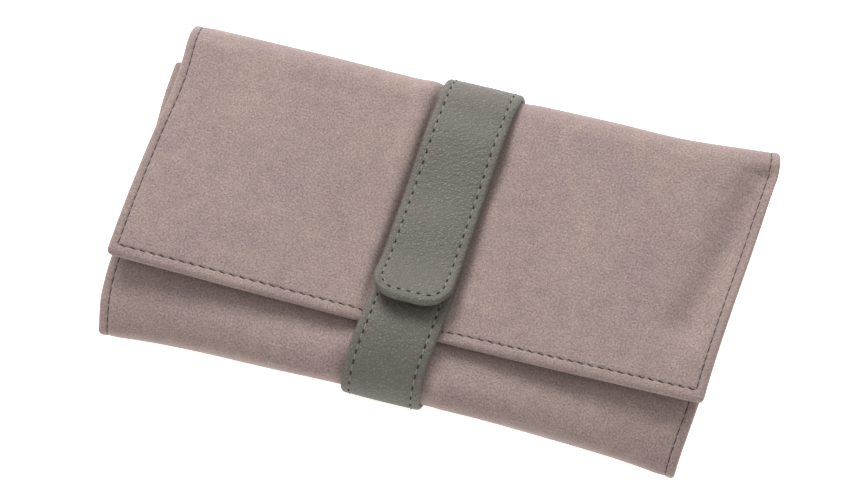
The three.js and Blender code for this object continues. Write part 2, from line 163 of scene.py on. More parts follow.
def valley(x, s, start, end, width):
    """1 along a line from start to end, fading out across its width and past its ends."""
    (x0, s0), (x1, s1) = start, end
    length = math.hypot(x1 - x0, s1 - s0)
    way_x, way_s = (x1 - x0) / length, (s1 - s0) / length
    along = (x - x0) * way_x + (s - s0) * way_s
    across = (s - s0) * way_x - (x - x0) * way_s
    past = np.maximum(np.maximum(-along, along - length), 0)
    return bell(across, width) * bell(past, width)


def leaf_s(y):
    return leaf_high[1] - y


def base_s(y):
    return BASE_FRONT + y - FRONT_CREASE


def flap_s(y):
    return SHEET_END - (y - flap_low[1])


def strap_shift(s):
    """x of the strap's middle."""
    return np.interp(s, [0, FRONT_MID, BACK_MID, SHEET_END], STRAP_ASKEW)


def beside_strap(x, s):
    """Distance from the strap's nearer side, 0 under the strap."""
    return np.maximum(np.abs(x - strap_shift(s)) - STRAP_HALF, 0)


def walk(start, heading, moves):
    """A line in the (y, z) plane made of (length, turn) moves, sampled every tenth of a millimetre."""
    ends, turns = np.cumsum([(0, 0), *moves], axis=0).T
    s = np.linspace(0, ends[-1], int(ends[-1] * 10) + 1)
    headings = heading + np.interp(s, ends, turns)
    middle = (headings[1:] + headings[:-1]) / 2
    y = start[0] + np.concatenate([[0], np.cumsum(np.cos(middle) * np.diff(s))])
    z = start[1] + np.concatenate([[0], np.cumsum(np.sin(middle) * np.diff(s))])
    return s, y, z, headings


sheet_line = walk(
    leaf_high[1:],
    math.pi,
    [
        (LEAF_FOLD, 0),
        (math.pi * FRONT_RADIUS, math.pi),
        (BASE_RUN, 0),
        (math.pi * BACK_RADIUS, math.pi),
        (FLAP_RUN, 0),
    ],
)


# How the soft sheet lies: drawn in and pressed down by the strap, slack in front, a corner flared.
# Stretches along s: start, full, fading, end. Some run on past an end of the sheet
BEFORE = (-2, -1)
BEYOND = (SHEET_END + 1, SHEET_END + 2)
UNDERSIDE = (FRONT_MID, BASE_FRONT, BASE_BACK, BACK_MID)
STRETCHES = {
    "leaf": (*BEFORE, LEAF_FOLD - 4, FRONT_MID - 4),
    "leaf_back": (*BEFORE, 10, 45),
    "leaf_middle": (LEAF_FOLD - 85, LEAF_FOLD - 35, LEAF_FOLD - 25, LEAF_FOLD),
    "leaf_front": (LEAF_FOLD - 25, LEAF_FOLD - 8, LEAF_FOLD - 4, FRONT_MID - 4),
    "front": (LEAF_FOLD - 35, LEAF_FOLD, BASE_FRONT - 6, BASE_FRONT + 6),
    "front_top": (LEAF_FOLD - 25, LEAF_FOLD + 7, LEAF_FOLD + 7, FRONT_MID + 10),
    "front_left": (LEAF_FOLD - 12, FRONT_MID, BASE_FRONT, BASE_FRONT + 60),
    "front_right": (LEAF_FOLD - 42, FRONT_MID, BASE_FRONT, BASE_FRONT + 60),
    "back_top": (BASE_BACK, FLAP_FOLD - 10, FLAP_FOLD, FLAP_FOLD + 32),
    "flap_front": (SHEET_END - 60, SHEET_END, *BEYOND),
    "flap_lip": (SHEET_END - 30, SHEET_END, *BEYOND),
}

# Shifts in x, y and z: size, share across the sheet, share along it
SHIFTS = [
    [
        (-0.4, "left", "leaf"),
        (-2.0, "left", "leaf_back"),
        (-0.9, "left", "leaf_front"),
        (1.1, "left", "front_left"),
        (-4.5, "right", "front_right"),
        (1.6, "left", "flap_back"),
        (2.4, "right", "flap_side"),
        (3.4, "corner", "flap_side"),
        (-1.4, "left", "flap_front"),
        (-0.6, "right", "flap_front"),
    ],
    [
        (-1.9, "whole", "front"),
        (4.2, "waist", "front"),
        (0.8, "whole", "back_top"),
        (0.6, "bulge", "back_top"),
        (2.8, "corner", "back_top"),
        (0.7, "tip", "back_top"),
        (0.05, "whole", "flap_front"),
        (-1.05, "slope", "flap_front"),
        (-0.5, "bow", "flap_front"),
        (-0.8, "left", "flap_front"),
        (0.45, "ends", "flap_lip"),
    ],
    [
        (-1.7, "bow", "leaf_middle"),
        (-3.4, "slack", "front_top"),
        (1.2, "corner", "back_top"),
        (0.6, "tip", "back_top"),
        (-2.8, "bow", "flap_front"),
        (-1.0, "ends", "flap_lip"),
        (-3.0, "middle", "squeezed"),
    ],
]
DENT_BEND = 1.8
DENT_WIDTH = 7.0
DENT_START = (105.5, 46.0)
DENT_END = (97.5, -14.0)


def shares_across(x):
    """How much the ends, the middle and the flared corner take part."""
    u = np.abs(x) / HALF
    bow = (1 - u**2) ** 1.2
    return {
        "whole": 1,
        "left": ease(-x, 30, HALF),
        "right": ease(x, 30, HALF),
        "corner": ease(x, 62, HALF) ** 1.5,
        "tip": ease(x, HALF - 9, HALF),
        "middle": bell(x, 42),
        "bulge": bell(x - 50, 26),
        "slope": x / HALF,
        "waist": 1 - 0.5 * u**2 - 0.5 * u**8,
        "slack": 0.35 + 1.6 * u**1.5,
        "bow": bow,
        "ends": 1 - bow,
    }


def shares_along(s, y):
    """How much each stretch of the sheet takes part."""
    shares = {name: between(s, *stretch) for name, stretch in STRETCHES.items()}
    shares["flap_back"] = bell(s - FLAP_FOLD - 14, 18)
    shares["flap_side"] = ease(s, BASE_BACK, FLAP_FOLD) * np.clip((SHEET_END - s) / FLAP_RUN, 0, 1) ** 1.5
    shares["over_base"] = 1 - ease(s, LEAF_FOLD - 20, LEAF_FOLD) + ease(s, FLAP_FOLD - 6, FLAP_FOLD)
    shares["squeezed"] = ease(BACK_CREASE - y, 2, 48) * ease(y, -58, -8) * shares["over_base"]
    return shares


def settle(x, s):
    """How far the soft sheet lies from the plainly folded one, as (dx, dy, dz)."""
    y = np.interp(s, sheet_line[0], sheet_line[1])
    across, along = shares_across(x), shares_along(s, y)
    dx, dy, dz = [sum(size * across[wide] * along[far] for size, wide, far in rows) for rows in SHIFTS]
    dent = valley(x, y, DENT_START, DENT_END, DENT_WIDTH) * along["over_base"]
    return dx, dy, dz - DENT_BEND * dent


# Slow unevenness: size, waves across and along, start
WAVES = [
    (0.16, 0.045, 0.021, 0.4),
    (0.12, -0.028, 0.061, 2.1),
    (0.10, 0.083, -0.037, 4.0),
    (0.07, 0.121, 0.094, 1.3),
]
WAVES_PRESSED = 0.9


def ripple(x, s):
    """Slow unevenness of the padded sheet, pressed out where the base lies on the ground."""
    waves = sum(size * np.sin(across * x + along * s + start) for size, across, along, start in WAVES)
    return waves * (1 - WAVES_PRESSED * between(s, *UNDERSIDE))


# The front fold is boxy beside the strap, with a hollow before it under the flap's edge
SHOULDER = 3.2
SHOULDER_STRETCH = (LEAF_FOLD - 1.0, LEAF_FOLD + 12.5, LEAF_FOLD + 12.5, LEAF_FOLD + 22.5)
SHOULDER_WIDTH = 62.0
SHOULDER_START = 4.0
EDGE_HOLLOW = 1.1
HOLLOW_PLACE = LEAF_FOLD - 4.0
HOLLOW_LENGTH = 6.0


def shoulder(x, s):
    """How far the sheet bulges and sinks in front, away from the strap's own bed."""
    along = SHOULDER * between(s, *SHOULDER_STRETCH) - EDGE_HOLLOW * bell(s - HOLLOW_PLACE, HOLLOW_LENGTH)
    return along * (1 - bell(beside_strap(x, s), SHOULDER_START)) * bell(x, SHOULDER_WIDTH)


def sheet_point(x, s, lift):
    """Points of the soft sheet in space."""
    x, s, lift = np.broadcast_arrays(x, s, lift)
    y, z, heading = [np.interp(s, sheet_line[0], values) for values in sheet_line[1:]]
    raised = lift + ripple(x, s) + shoulder(x, s)
    dx, dy, dz = settle(x, s)
    return np.stack([x + dx, y + raised * np.sin(heading) + dy, z - raised * np.cos(heading) + dz], -1)


def edge_distance(x, s):
    """Distance to the nearest edge, counted in full hems, because the side hems are narrower."""
    return np.minimum((HALF - np.abs(x)) * HEM / SIDE_HEM, np.minimum(s, SHEET_END - s))


def hem(x, s):
    """Outer and inner lift of the suede: round edge, flat sewn hem, groove at the seam, full pad."""
    d = edge_distance(x, s)
    sink = HEM_SINK * (1 - ease(d, HEM, HEM + HEM_RISE)) + SEAM_GROOVE * bell(d - HEM, SEAM_WIDTH)
    half = (SUEDE / 2 - sink) * rounded(d, EDGE_ROUND)
    return half - SUEDE / 2, -half - SUEDE / 2


# Thick and thin places of the pad. The strap's groove has a steep left wall with a bulge behind it
SAG = 1.9
SAG_START = STRAP_HALF + 3
SAG_FULL = 60
CROWN = 0.9
CROWN_STRETCH = (FLAP_FOLD - 20, FLAP_FOLD + 25, SHEET_END - 35, SHEET_END - 4)
DENT_PAD = 2.8
PRESS = 2.2
PRESS_REACH = (1.7, 4.5)
PRESS_BULGE = 0.5
PRESS_BULGE_PLACE = 5
PRESS_BULGE_REACH = 3.5
PRESS_LESS = 0.6
PRESS_LESS_STRETCH = (SHEET_END - 26, SHEET_END - 5)


def strap_groove(s):
    """Depth of the groove that the strap presses into the flap, shallow at the flap's front edge."""
    return PRESS * ease(s, BACK_MID, FLAP_FOLD) * (1 - PRESS_LESS * ease(s, *PRESS_LESS_STRETCH))


def outer(x, s):
    """Outer face of the suede, with the base down on the ground and the dents of the flap."""
    sag = SAG * ease(np.abs(x), SAG_START, SAG_FULL) * between(s, *UNDERSIDE)
    on_left = x < strap_shift(s)
    beside = beside_strap(x, s)
    sunk = bell(beside, np.where(on_left, *PRESS_REACH))
    bulge = PRESS_BULGE * on_left * bell(beside - PRESS_BULGE_PLACE, PRESS_BULGE_REACH) * (1 - sunk)
    dent_ends = [(x_place, flap_s(y_place)) for x_place, y_place in (DENT_START, DENT_END)]
    dent = DENT_PAD * valley(x, s, *dent_ends, DENT_WIDTH)
    crown = CROWN * np.sin(np.pi * np.clip(np.abs(x) / HALF, 0, 1)) ** 2 * between(s, *CROWN_STRETCH)
    uneven = sag + crown - dent - strap_groove(s) * (sunk - bulge)
    return hem(x, s)[0] + uneven * rounded(edge_distance(x, s), FULL_PAD)


def inner(x, s):
    """Inner face of the suede."""
    return hem(x, s)[1]


def lining_top(x, s):
    return inner(x, s) - LAYER_GAP


def lining_bottom(x, s):
    return lining_top(x, s) - LINING * rounded(edge_distance(x, s) - LINING_INSET, LINING_ROUND)


SUEDE_LAYER = (sheet_point, outer, inner)
LINING_LAYER = (sheet_point, lining_top, lining_bottom)


# Mesh making. A layer is a function that places points, and its upper and lower lift.
# A look is a material and the name of its slot
def add_object(name, data):
    obj = bpy.data.objects.new(name, data)
    bpy.context.scene.collection.objects.link(obj)
    return obj


def make_object(name, points, faces, uv, look, flat_faces=0):
    """A closed smooth mesh from points and UVs in millimetres. Its last faces may be flat caps."""
    mesh = bpy.data.meshes.new(name)
    mesh.from_pydata((points.reshape(-1, 3) * MM).tolist(), [], faces)
    layer = mesh.uv_layers.new(name="UVMap")
    corners = np.zeros(len(mesh.loops), np.int32)
    mesh.loops.foreach_get("vertex_index", corners)
    layer.data.foreach_set("uv", (uv.reshape(-1, 2)[corners] * MM).astype(np.float32).ravel())
    shape = bmesh.new()
    shape.from_mesh(mesh)
    if shape.calc_volume(signed=True) < 0:
        bmesh.ops.reverse_faces(shape, faces=shape.faces)
    shape.faces.ensure_lookup_table()
    for face in shape.faces:
        face.smooth = True
    for face in shape.faces[len(shape.faces) - flat_faces:]:
        for edge in face.edges:
            edge.smooth = False
    shape.to_mesh(mesh)
    shape.free()
    material, slot = look
    mesh.materials.append(material)
    obj = add_object(name, mesh)
    return obj


def clean_faces(faces):
    """Drops repeated corners, where two sides of a slab meet in one edge."""
    cleaned = [list(dict.fromkeys(face)) for face in faces]
    return [face for face in cleaned if len(face) > 2]


def quads(grid):
    """Faces between the points of a grid of point numbers."""
    a, b = grid[:-1, :-1].ravel(), grid[:-1, 1:].ravel()
    c, d = grid[1:, 1:].ravel(), grid[1:, :-1].ravel()
    return np.stack([a, b, c, d], 1).tolist()


def tube_faces(rings, sides, first=0, closed=False):
    """Faces of a tube of rings of points, numbered from first, with end caps or closed to a loop."""
    grid = np.arange(first, first + rings * sides).reshape(rings, sides)
    wrapped = np.concatenate([grid, grid[:, :1]], 1)
    if closed:
        return quads(np.concatenate([wrapped, wrapped[:1]]))
    return quads(wrapped) + [grid[0, ::-1].tolist(), grid[-1].tolist()]


def round_corners(x, s, half, ends, free, radius):
    """Moves the corners of a rectangle of (x, s) onto quarter circles at its free ends."""
    side = np.clip((np.abs(x) - half + radius) / radius, 0, 1)
    for end, is_free, way in zip(ends, free, (-1, 1)):
        if not is_free:
            continue
        reach = np.clip((radius - np.abs(s - end)) / radius, 0, 1)
        new_side = side * np.sqrt(1 - reach**2 / 2)
        new_reach = reach * np.sqrt(1 - side**2 / 2)
        x = x + np.sign(x) * (new_side - side) * radius
        s = s + way * (new_reach - reach) * radius
    return x, s


RIM_REACH = (2.0, 3.0)


def rim_drop(place, half_thickness, round_ends, axis):
    """How far a face falls away near a round edge, counted outwards, so that textures go on round it."""
    drop = np.maximum(np.median(half_thickness, axis, keepdims=True) - half_thickness, 0)
    total = np.zeros(place.shape)
    for end, is_round, way in zip((place.min(), place.max()), round_ends, (-1, 1)):
        if is_round:
            total = total + way * drop * (1 - ease(np.abs(place - end), *RIM_REACH))
    return total


def slab(name, across, along, layer, look, free=(False, False), corner=0.0):
    """A closed sheet over a grid. Its long sides and free ends are round edges."""
    point, top, bottom = layer
    x, s = np.meshgrid(across, along)
    placed_x, placed_s = x, s
    if corner:
        centre, half = (across[-1] + across[0]) / 2, (across[-1] - across[0]) / 2
        placed_x, placed_s = round_corners(x - centre, s, half, (along[0], along[-1]), free, corner)
        placed_x = placed_x + centre
    lifts = top(x, s), bottom(x, s)
    points = np.concatenate([point(placed_x, placed_s, lift).reshape(-1, 3) for lift in lifts])
    up = np.arange(x.size).reshape(x.shape)
    closed = np.zeros(x.shape, bool)
    closed[:, [0, -1]] = True
    closed[0] |= free[0]
    closed[-1] |= free[1]
    down = np.where(closed, up, up + x.size)
    caps = [] if free[0] else quads(np.stack([down[0], up[0]]))
    caps += [] if free[1] else quads(np.stack([up[-1], down[-1]]))
    caps = clean_faces(caps)
    faces = clean_faces(quads(up) + quads(down[:, ::-1])) + caps
    half_thickness = (lifts[0] - lifts[1]) / 2
    u = placed_x + rim_drop(x, half_thickness, (True, True), 1)
    v = placed_s + rim_drop(s, half_thickness, free, 0)
    uv = np.tile(np.stack([u.ravel(), v.ravel()], 1), (2, 1))
    used = np.unique(np.concatenate(faces))
    number = np.zeros(len(points), int)
    number[used] = np.arange(len(used))
    faces = [number[face].tolist() for face in faces]
    return make_object(name, points[used], faces, uv[used], look, len(caps))


# Places of grid lines from a fine edge inwards
RIM_STEPS = [0, 0.1, 0.4, 0.9, 1.7, 2.5, 3.1, 3.5, 3.75, 4.0, 4.25, 4.5, 4.9, 5.6, 7.0, 9.0, 11.5]
FINE_RIM = [0, 0.08, 0.3, 0.65, 1.25, 1.9, 2.4, 2.75, 3.0, 3.25, 3.6, 4.3]
THIN_RIM = [0, 0.1, 0.35, 1.0, 2.0]


def steps(low, high, step):
    """Even grid lines about a step apart."""
    count = max(int(round((high - low) / step)), 1)
    return np.linspace(low, high, count + 1)


def graded(low, high, step, rim, fine_low=True, fine_high=True):
    """Grid lines with a fine rim at either end."""
    rim = np.array(rim)
    start = low + rim if fine_low else np.array([low])
    end = high - rim[::-1] if fine_high else np.array([high])
    return np.unique(np.round(np.concatenate([start, steps(start[-1], end[0], step), end]), 6))


def along_sheet(low, high, flat_step, arc_step, rim):
    """Grid lines along the sheet, closer on the folds and at the sheet's two ends."""
    inside = [mark for mark in (LEAF_FOLD, BASE_FRONT, BASE_BACK, FLAP_FOLD) if low < mark < high]
    lines = []
    for start, end in zip([low, *inside], [*inside, high]):
        middle = (start + end) / 2
        on_arc = LEAF_FOLD < middle < BASE_FRONT or BASE_BACK < middle < FLAP_FOLD
        at_ends = start <= LINING_INSET, end >= SHEET_END - LINING_INSET
        lines.append(graded(start, end, arc_step if on_arc else flat_step, rim, *at_ends))
    return np.unique(np.concatenate(lines))


# Stitches, in shares of the thread's radius
STITCH_SINK = 0.3
STITCH_TAPER = 0.7
NORMAL_STEP = 0.2


def tube_dashes(name, starts, ends, point, height, radius, look, rise, rings=7, sides=6):
    """Short stitches of thread between (x, s) points, arched out of the surface."""
    share = np.linspace(0, 1, rings)
    x, s = [starts[:, [axis]] + (ends - starts)[:, [axis]] * share for axis in (0, 1)]
    lift = height(x, s) + radius * (rise * np.sin(np.pi * share) - STITCH_SINK * np.sign(rise))
    centre = point(x, s, lift)
    normal = unit(point(x, s, lift + NORMAL_STEP) - centre)
    sideways = np.cross(unit(np.gradient(centre, axis=1)), normal)
    girth = radius * (1 - STITCH_TAPER * np.abs(2 * share - 1) ** 4)
    angles = np.linspace(0, 2 * np.pi, sides, endpoint=False)
    ring = np.cos(angles)[:, None] * sideways[:, :, None] + np.sin(angles)[:, None] * normal[:, :, None]
    points = centre[:, :, None] + girth[:, None, None] * ring
    faces = []
    for index in range(len(starts)):
        faces += tube_faces(rings, sides, index * rings * sides)
    uv = np.stack(np.broadcast_arrays(angles * radius, s[..., None]), -1)
    return make_object(name, points, faces, uv, look)


def bent_path(corners, radius):
    """A line through square corners in (x, s), each turned on a quarter circle."""
    corners = np.array(corners, float)
    path = [corners[0]]
    for before, here, after in zip(corners, corners[1:], corners[2:]):
        into, out = unit(here - before), unit(after - here)
        centre = here + (out - into) * radius
        for angle in np.linspace(0, np.pi / 2, 9):
            path.append(centre + radius * (into * np.sin(angle) - out * np.cos(angle)))
    return path + [corners[-1]]


def seam(paths, pitch, length, slant=0.0, gaps=False):
    """Ends of stitches at an even pitch along lines of (x, s) points, or of holes in their gaps."""
    starts, ends = [], []
    for path in paths:
        path = np.array(path, float)
        way_along = travelled(path)
        count = max(int(round(way_along[-1] / pitch)), 2)
        places = np.arange(count + 1) if gaps else np.arange(count) + 0.5
        middles = places * way_along[-1] / count
        first, last = [
            np.stack([np.interp(middles + shift, way_along, axis) for axis in path.T], 1)
            for shift in (-length / 2, length / 2)
        ]
        way = unit(last - first)
        across = np.stack([-way[:, 1], way[:, 0]], 1) * slant / 2
        starts.append(first - across)
        ends.append(last + across)
    return np.concatenate(starts), np.concatenate(ends)


# Materials
class Finish:
    """A procedural material on the mesh's own UVs, or on another kind of coordinates."""

    def __init__(self, name, place="UV", **sockets):
        self.material = bpy.data.materials.new(name)
        self.material.use_nodes = True
        self.tree = self.material.node_tree
        self.shader = self.tree.nodes["Principled BSDF"]
        for socket, value in sockets.items():
            self.shader.inputs[socket.replace("_", " ")].default_value = value
        self.uv = self.tree.nodes.new("ShaderNodeTexCoord").outputs[place]

    def node(self, kind, links, values=None, **settings):
        node = self.tree.nodes.new("ShaderNode" + kind)
        for key, value in settings.items():
            setattr(node, key, value)
        for key, value in (values or {}).items():
            node.inputs[key].default_value = value
        for key, source in links.items():
            self.tree.links.new(source, node.inputs[key])
        return node

    def stretch(self, along, across, angle):
        """Draws the texture out along a direction, given in degrees."""
        values = {"Rotation": (0, 0, math.radians(angle)), "Scale": (along, across, 1)}
        self.uv = self.node("Mapping", {"Vector": self.uv}, values, vector_type="TEXTURE").outputs["Vector"]

    def texture(self, kind, output, values, **settings):
        return self.node("Tex" + kind, {"Vector": self.uv}, values, **settings).outputs[output]

    def noise(self, scale, detail=2.0, roughness=0.5):
        return self.texture("Noise", "Fac", {"Scale": scale, "Detail": detail, "Roughness": roughness})

    def ramp(self, source, *colours, places=(0.3, 0.7)):
        """Colours or greys by value, in linear light."""
        node = self.node("ValToRGB", {"Fac": source})
        elements = node.color_ramp.elements
        while len(elements) < len(colours):
            elements.new(0.5)
        for element, place, colour in zip(elements, places, colours):
            element.position = place
            element.color = (*np.broadcast_to(colour, 3), 1)
        return node.outputs["Color"]

    def multiply(self, colour, *others):
        for other in others:
            links = {6: colour, 7: other}
            node = self.node("Mix", links, {"Factor": 1.0}, data_type="RGBA", blend_type="MULTIPLY")
            colour = node.outputs[2]
        return colour

    def bump(self, height, strength, distance, after=None):
        links = {"Height": height}
        if after is not None:
            links["Normal"] = after
        return self.node("Bump", links, {"Strength": strength, "Distance": distance}).outputs["Normal"]

    def use(self, **sockets):
        for socket, source in sockets.items():
            self.tree.links.new(source, self.shader.inputs[socket.replace("_", " ")])
        return self.material


def linear(red, green, blue):
    """Linear light of a colour given as it looks on a screen, 0 to 255."""
    return tuple(((c / 255 + 0.055) / 1.055) ** 2.4 for c in (red, green, blue))


def shades(colour, *levels):
    """Darker and brighter kinds of a screen colour, in linear light."""
    return [tuple(c * level for c in linear(*colour)) for level in levels]


def suede_finish():
    finish = Finish(
        "suede", Roughness=0.92, Sheen_Weight=0.25, Sheen_Roughness=0.5, Specular_IOR_Level=0.15
    )
    cloud = finish.ramp(finish.noise(45, 3, 0.55), linear(149, 130, 128), linear(157, 138, 131))
    brushed = finish.ramp(finish.noise(200, 4, 0.7), 0.89, 1.1)
    nap = finish.ramp(finish.noise(1350, 3, 0.75), 0.57, 0.98, 1.43, places=(0.3, 0.5, 0.7))
    fine = finish.bump(finish.noise(1500, 3, 0.65), 0.3, 0.0004)
    return finish.use(Base_Color=finish.multiply(cloud, brushed, nap), Normal=fine)


def leather_finish():
    finish = Finish("strap_leather", Specular_IOR_Level=0.28)
    finish.stretch(1.35, 0.95, -20)
    cells = finish.texture(
        "Voronoi", "Distance", {"Scale": 1000, "Randomness": 1.0}, feature="DISTANCE_TO_EDGE"
    )
    tone = finish.ramp(finish.noise(50), linear(114, 110, 103), linear(119, 114, 106), places=(0.35, 0.65))
    grain = finish.ramp(cells, 0.74, 1.04, places=(0.0, 0.3))
    fine = finish.ramp(finish.noise(900, 2, 0.6), 0.94, 1.04)
    gloss = finish.ramp(finish.noise(700), 0.46, 0.58)
    broad = finish.bump(finish.noise(650, 1, 0.4), 0.7, 0.0006)
    pebble = finish.bump(finish.ramp(cells, 0.0, 1.0, places=(0.0, 0.35)), 0.6, 0.0003, broad)
    return finish.use(Base_Color=finish.multiply(tone, grain, fine), Roughness=gloss, Normal=pebble)


def thread_finish(name, colour):
    finish = Finish(name, Roughness=0.7, Sheen_Weight=0.1)
    twist = finish.texture("Wave", "Fac", {"Scale": 900.0, "Distortion": 1.0})
    tone = finish.ramp(twist, *shades(colour, 0.6, 1.15), places=(0.2, 0.8))
    return finish.use(Base_Color=tone, Normal=finish.bump(twist, 0.4, 0.0002))


def velour_finish(name, colour):
    finish = Finish(name, Roughness=0.95, Sheen_Weight=0.4, Sheen_Roughness=0.4, Specular_IOR_Level=0.1)
    dark = linear(*[c * 0.97 for c in colour])
    tone = finish.ramp(finish.noise(45, 3), dark, linear(*colour), places=(0.35, 0.65))
    pile = finish.ramp(finish.noise(2200, 2, 0.6), 0.82, 1.12)
    fine = finish.bump(finish.noise(2400), 0.3, 0.0003)
    return finish.use(Base_Color=finish.multiply(tone, pile), Normal=fine)


def weave_finish(name, colour):
    finish = Finish(name, Roughness=0.85, Sheen_Weight=0.15, Specular_IOR_Level=0.2)
    twill = finish.texture("Wave", "Fac", {"Scale": 420.0, "Distortion": 0.6}, bands_direction="DIAGONAL")
    tone = finish.ramp(twill, *shades(colour, 0.7, 1.1), places=(0.2, 0.8))
    return finish.use(Base_Color=tone, Normal=finish.bump(twill, 0.5, 0.0002))


def nylon_finish(name, colour):
    finish = Finish(name, Specular_IOR_Level=0.5)
    tone = finish.ramp(finish.noise(300), *shades(colour, 0.9, 1.08))
    return finish.use(Base_Color=tone, Roughness=finish.ramp(finish.noise(900), 0.32, 0.42))


def nickel_finish():
    finish = Finish("satin_nickel", "Object", Metallic=1.0)
    tone = finish.ramp(finish.noise(120, 3), (0.32, 0.305, 0.285), (0.38, 0.365, 0.34))
    gloss = finish.ramp(finish.noise(1500, 3, 0.6), 0.38, 0.5)
    return finish.use(Base_Color=tone, Roughness=gloss, Normal=finish.bump(finish.noise(2500), 0.1, 0.0001))


SUEDE_LOOK = (suede_finish(), "suede")
LEATHER = (leather_finish(), "strap_leather")
DARK_THREAD = (thread_finish("dark_thread", (46, 36, 36)), "suede")
GREY_THREAD = (thread_finish("grey_thread", (158, 154, 146)), "strap_leather")
# Near-black marks at the strap's needle holes: painted shade, since the holes look dark only from the shade
# in them
NEEDLE_HOLE_SHADE = (thread_finish("needle_hole_shade", (24, 22, 21)), "strap_leather")
LINING_THREAD = thread_finish("lining_thread", (142, 120, 112))
VELOUR = (velour_finish("velour", (186, 170, 158)), "lining")
POCKET = (velour_finish("pocket_velour", (176, 157, 148)), "lining")
CUSHION = (velour_finish("cushion_velour", (182, 162, 154)), "lining")
TAPE = (weave_finish("zip_weave", (138, 122, 116)), "zip_tape")
COIL = (nylon_finish("zip_nylon", (128, 112, 106)), "zip_coil")
NICKEL = nickel_finish()
BACKING = (velour_finish("strap_backing", (120, 116, 109)), "lining")


# How pieces move, and what they stand for
def slanting_bend(first, second, origin, way, low, high):
    """A bend between two bodies, from low to high along a slanting way in the (y, z) plane."""
    direction = np.array([0, way, 1]) / math.sqrt(2)
    ends = [tuple((np.array([0, *origin]) + direction * length) * MM) for length in (low, high)]
    return first, second, *ends


FRONT_AXIS = base_low[2] + FRONT_RADIUS
BACK_AXIS = base_low[2] + BACK_RADIUS
FRONT_LOWER_SPAN = (3.5, 10.9)
FRONT_UPPER_SPAN = (5.9, 12.8)
BACK_SPAN = (3.5, 18.4)
FRONT_LOWER = slanting_bend("base", "front_fold", (FRONT_CREASE, base_low[2]), -1, *FRONT_LOWER_SPAN)
FRONT_UPPER = slanting_bend("front_fold", "leaf", (front_low[1], FRONT_AXIS), 1, *FRONT_UPPER_SPAN)
BACK_LOWER = slanting_bend("base", "back_fold", (BACK_CREASE, base_low[2]), 1, *BACK_SPAN)
BACK_UPPER = slanting_bend("back_fold", "flap", (back_high[1], BACK_AXIS), -1, *BACK_SPAN)


def move_with(piece, way):
    """Lets a piece ride on one body. For a bend between two bodies it only fixes the piece where it lies.
    """
    if isinstance(way, str):
        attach(piece, way)
    else:
        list(way)
        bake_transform(piece)


def dress(piece, nodes, way, fill=None, flat=None):
    """Hides the solids that a piece stands for, and lets the piece move. Fill and flat are not used."""
    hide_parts(*nodes)
    move_with(piece, way)


# The suede sheet with its lining: start and end along s, bend, solids
SHEET_PARTS = {
    "leaf": (0, FRONT_MID, FRONT_UPPER, ["leaf"]),
    "base_front": (FRONT_MID, BASE_MID, FRONT_LOWER, ["base", "front_fold"]),
    "base_back": (BASE_MID, BACK_MID, BACK_LOWER, ["back_fold"]),
    "flap": (BACK_MID, SHEET_END, BACK_UPPER, ["flap"]),
}
SHEET_FILL = 0.7
SHEET_STEP = 2.8
FOLD_STEP = 0.65
LINING_STEP = 4.0
LINING_FOLD_STEP = 0.9
NEAR_STRAP = (9.5, 25.5)
LEFT_STEP = 0.6
RIGHT_STEP = 1.0

# Stitches of the sheet: length, radius, slant
STITCH_PITCH = 3.65
STITCH_RISE = 0.9
SIDE_STITCH = (3.5, 0.18, 0.2)
EDGE_STITCH = (2.2, 0.23, 0.9)
# Nearly unbroken thin dark thread along a free edge's seam: painted shade of the seam's groove
EDGE_SHADE_LINE = (3.6, 0.1, 0.0)
SEAM_INSET = 0.3


def build_sheet():
    """Padded suede in four pieces that meet at mid fold and under the base."""
    near, far = NEAR_STRAP
    across = graded(-HALF, HALF, SHEET_STEP, [step * SIDE_HEM / HEM for step in RIM_STEPS])
    across = across[(np.abs(across) < near) | (np.abs(across) > far)]
    across = np.sort(np.concatenate([across, steps(-far, -near, LEFT_STEP), steps(near, far, RIGHT_STEP)]))
    for part, (low, high, bend, solids) in SHEET_PARTS.items():
        free = (low == 0, high == SHEET_END)
        along = along_sheet(low, high, SHEET_STEP, FOLD_STEP, RIM_STEPS)
        piece = slab(f"{part}_suede", across, along, SUEDE_LAYER, SUEDE_LOOK, free, SHEET_CORNER)
        nodes = [f"{solid}_{layer}" for solid in solids for layer in ("cover", "pad")]
        dress(piece, nodes, bend, fill=SHEET_FILL)
        build_lining(part, low, high, bend, solids, free)
        build_sheet_thread(part, low, high, bend, free)


def build_lining(part, low, high, bend, solids, free):
    """Velour that ends a little inside the suede's edge."""
    half = HALF - LINING_INSET
    first = low + LINING_INSET if free[0] else low
    last = high - LINING_INSET if free[1] else high
    across = graded(-half, half, LINING_STEP, THIN_RIM)
    along = along_sheet(first, last, LINING_STEP, LINING_FOLD_STEP, THIN_RIM)
    piece = slab(f"{part}_velour", across, along, LINING_LAYER, VELOUR, free)
    dress(piece, [f"{solid}_lining" for solid in solids], bend, flat=(half * 2, last - first))


def build_sheet_thread(part, low, high, bend, free):
    """Long fine stitches up the sides. At a free edge, short slanting ones over a nearly unbroken thin dark
    line that paints the shade of the seam's groove.
    """
    first = low + (HEM if free[0] else SEAM_INSET)
    last = high - (HEM if free[1] else SEAM_INSET)
    side = HALF - SIDE_HEM
    sides = [[(x, first), (x, last)] for x in (-side, side)]
    edges = [[(-side, s), (side, s)] for is_free, s in zip(free, (first, last)) if is_free]
    # The line row is painted shade of the seam groove, laid on in dark thread
    rows = [(sides, SIDE_STITCH, "side"), (edges, EDGE_STITCH, "edge"), (edges, EDGE_SHADE_LINE, "line")]
    for paths, (length, radius, slant), kind in rows:
        if not paths:
            continue
        stitches = seam(paths, STITCH_PITCH, length, slant)
        for place, height, rise in (("outer", outer, STITCH_RISE), ("inner", lining_bottom, -STITCH_RISE)):
            name = f"{part}_{place}_{kind}_thread"
            move_with(tube_dashes(name, *stitches, sheet_point, height, radius, DARK_THREAD, rise), bend)


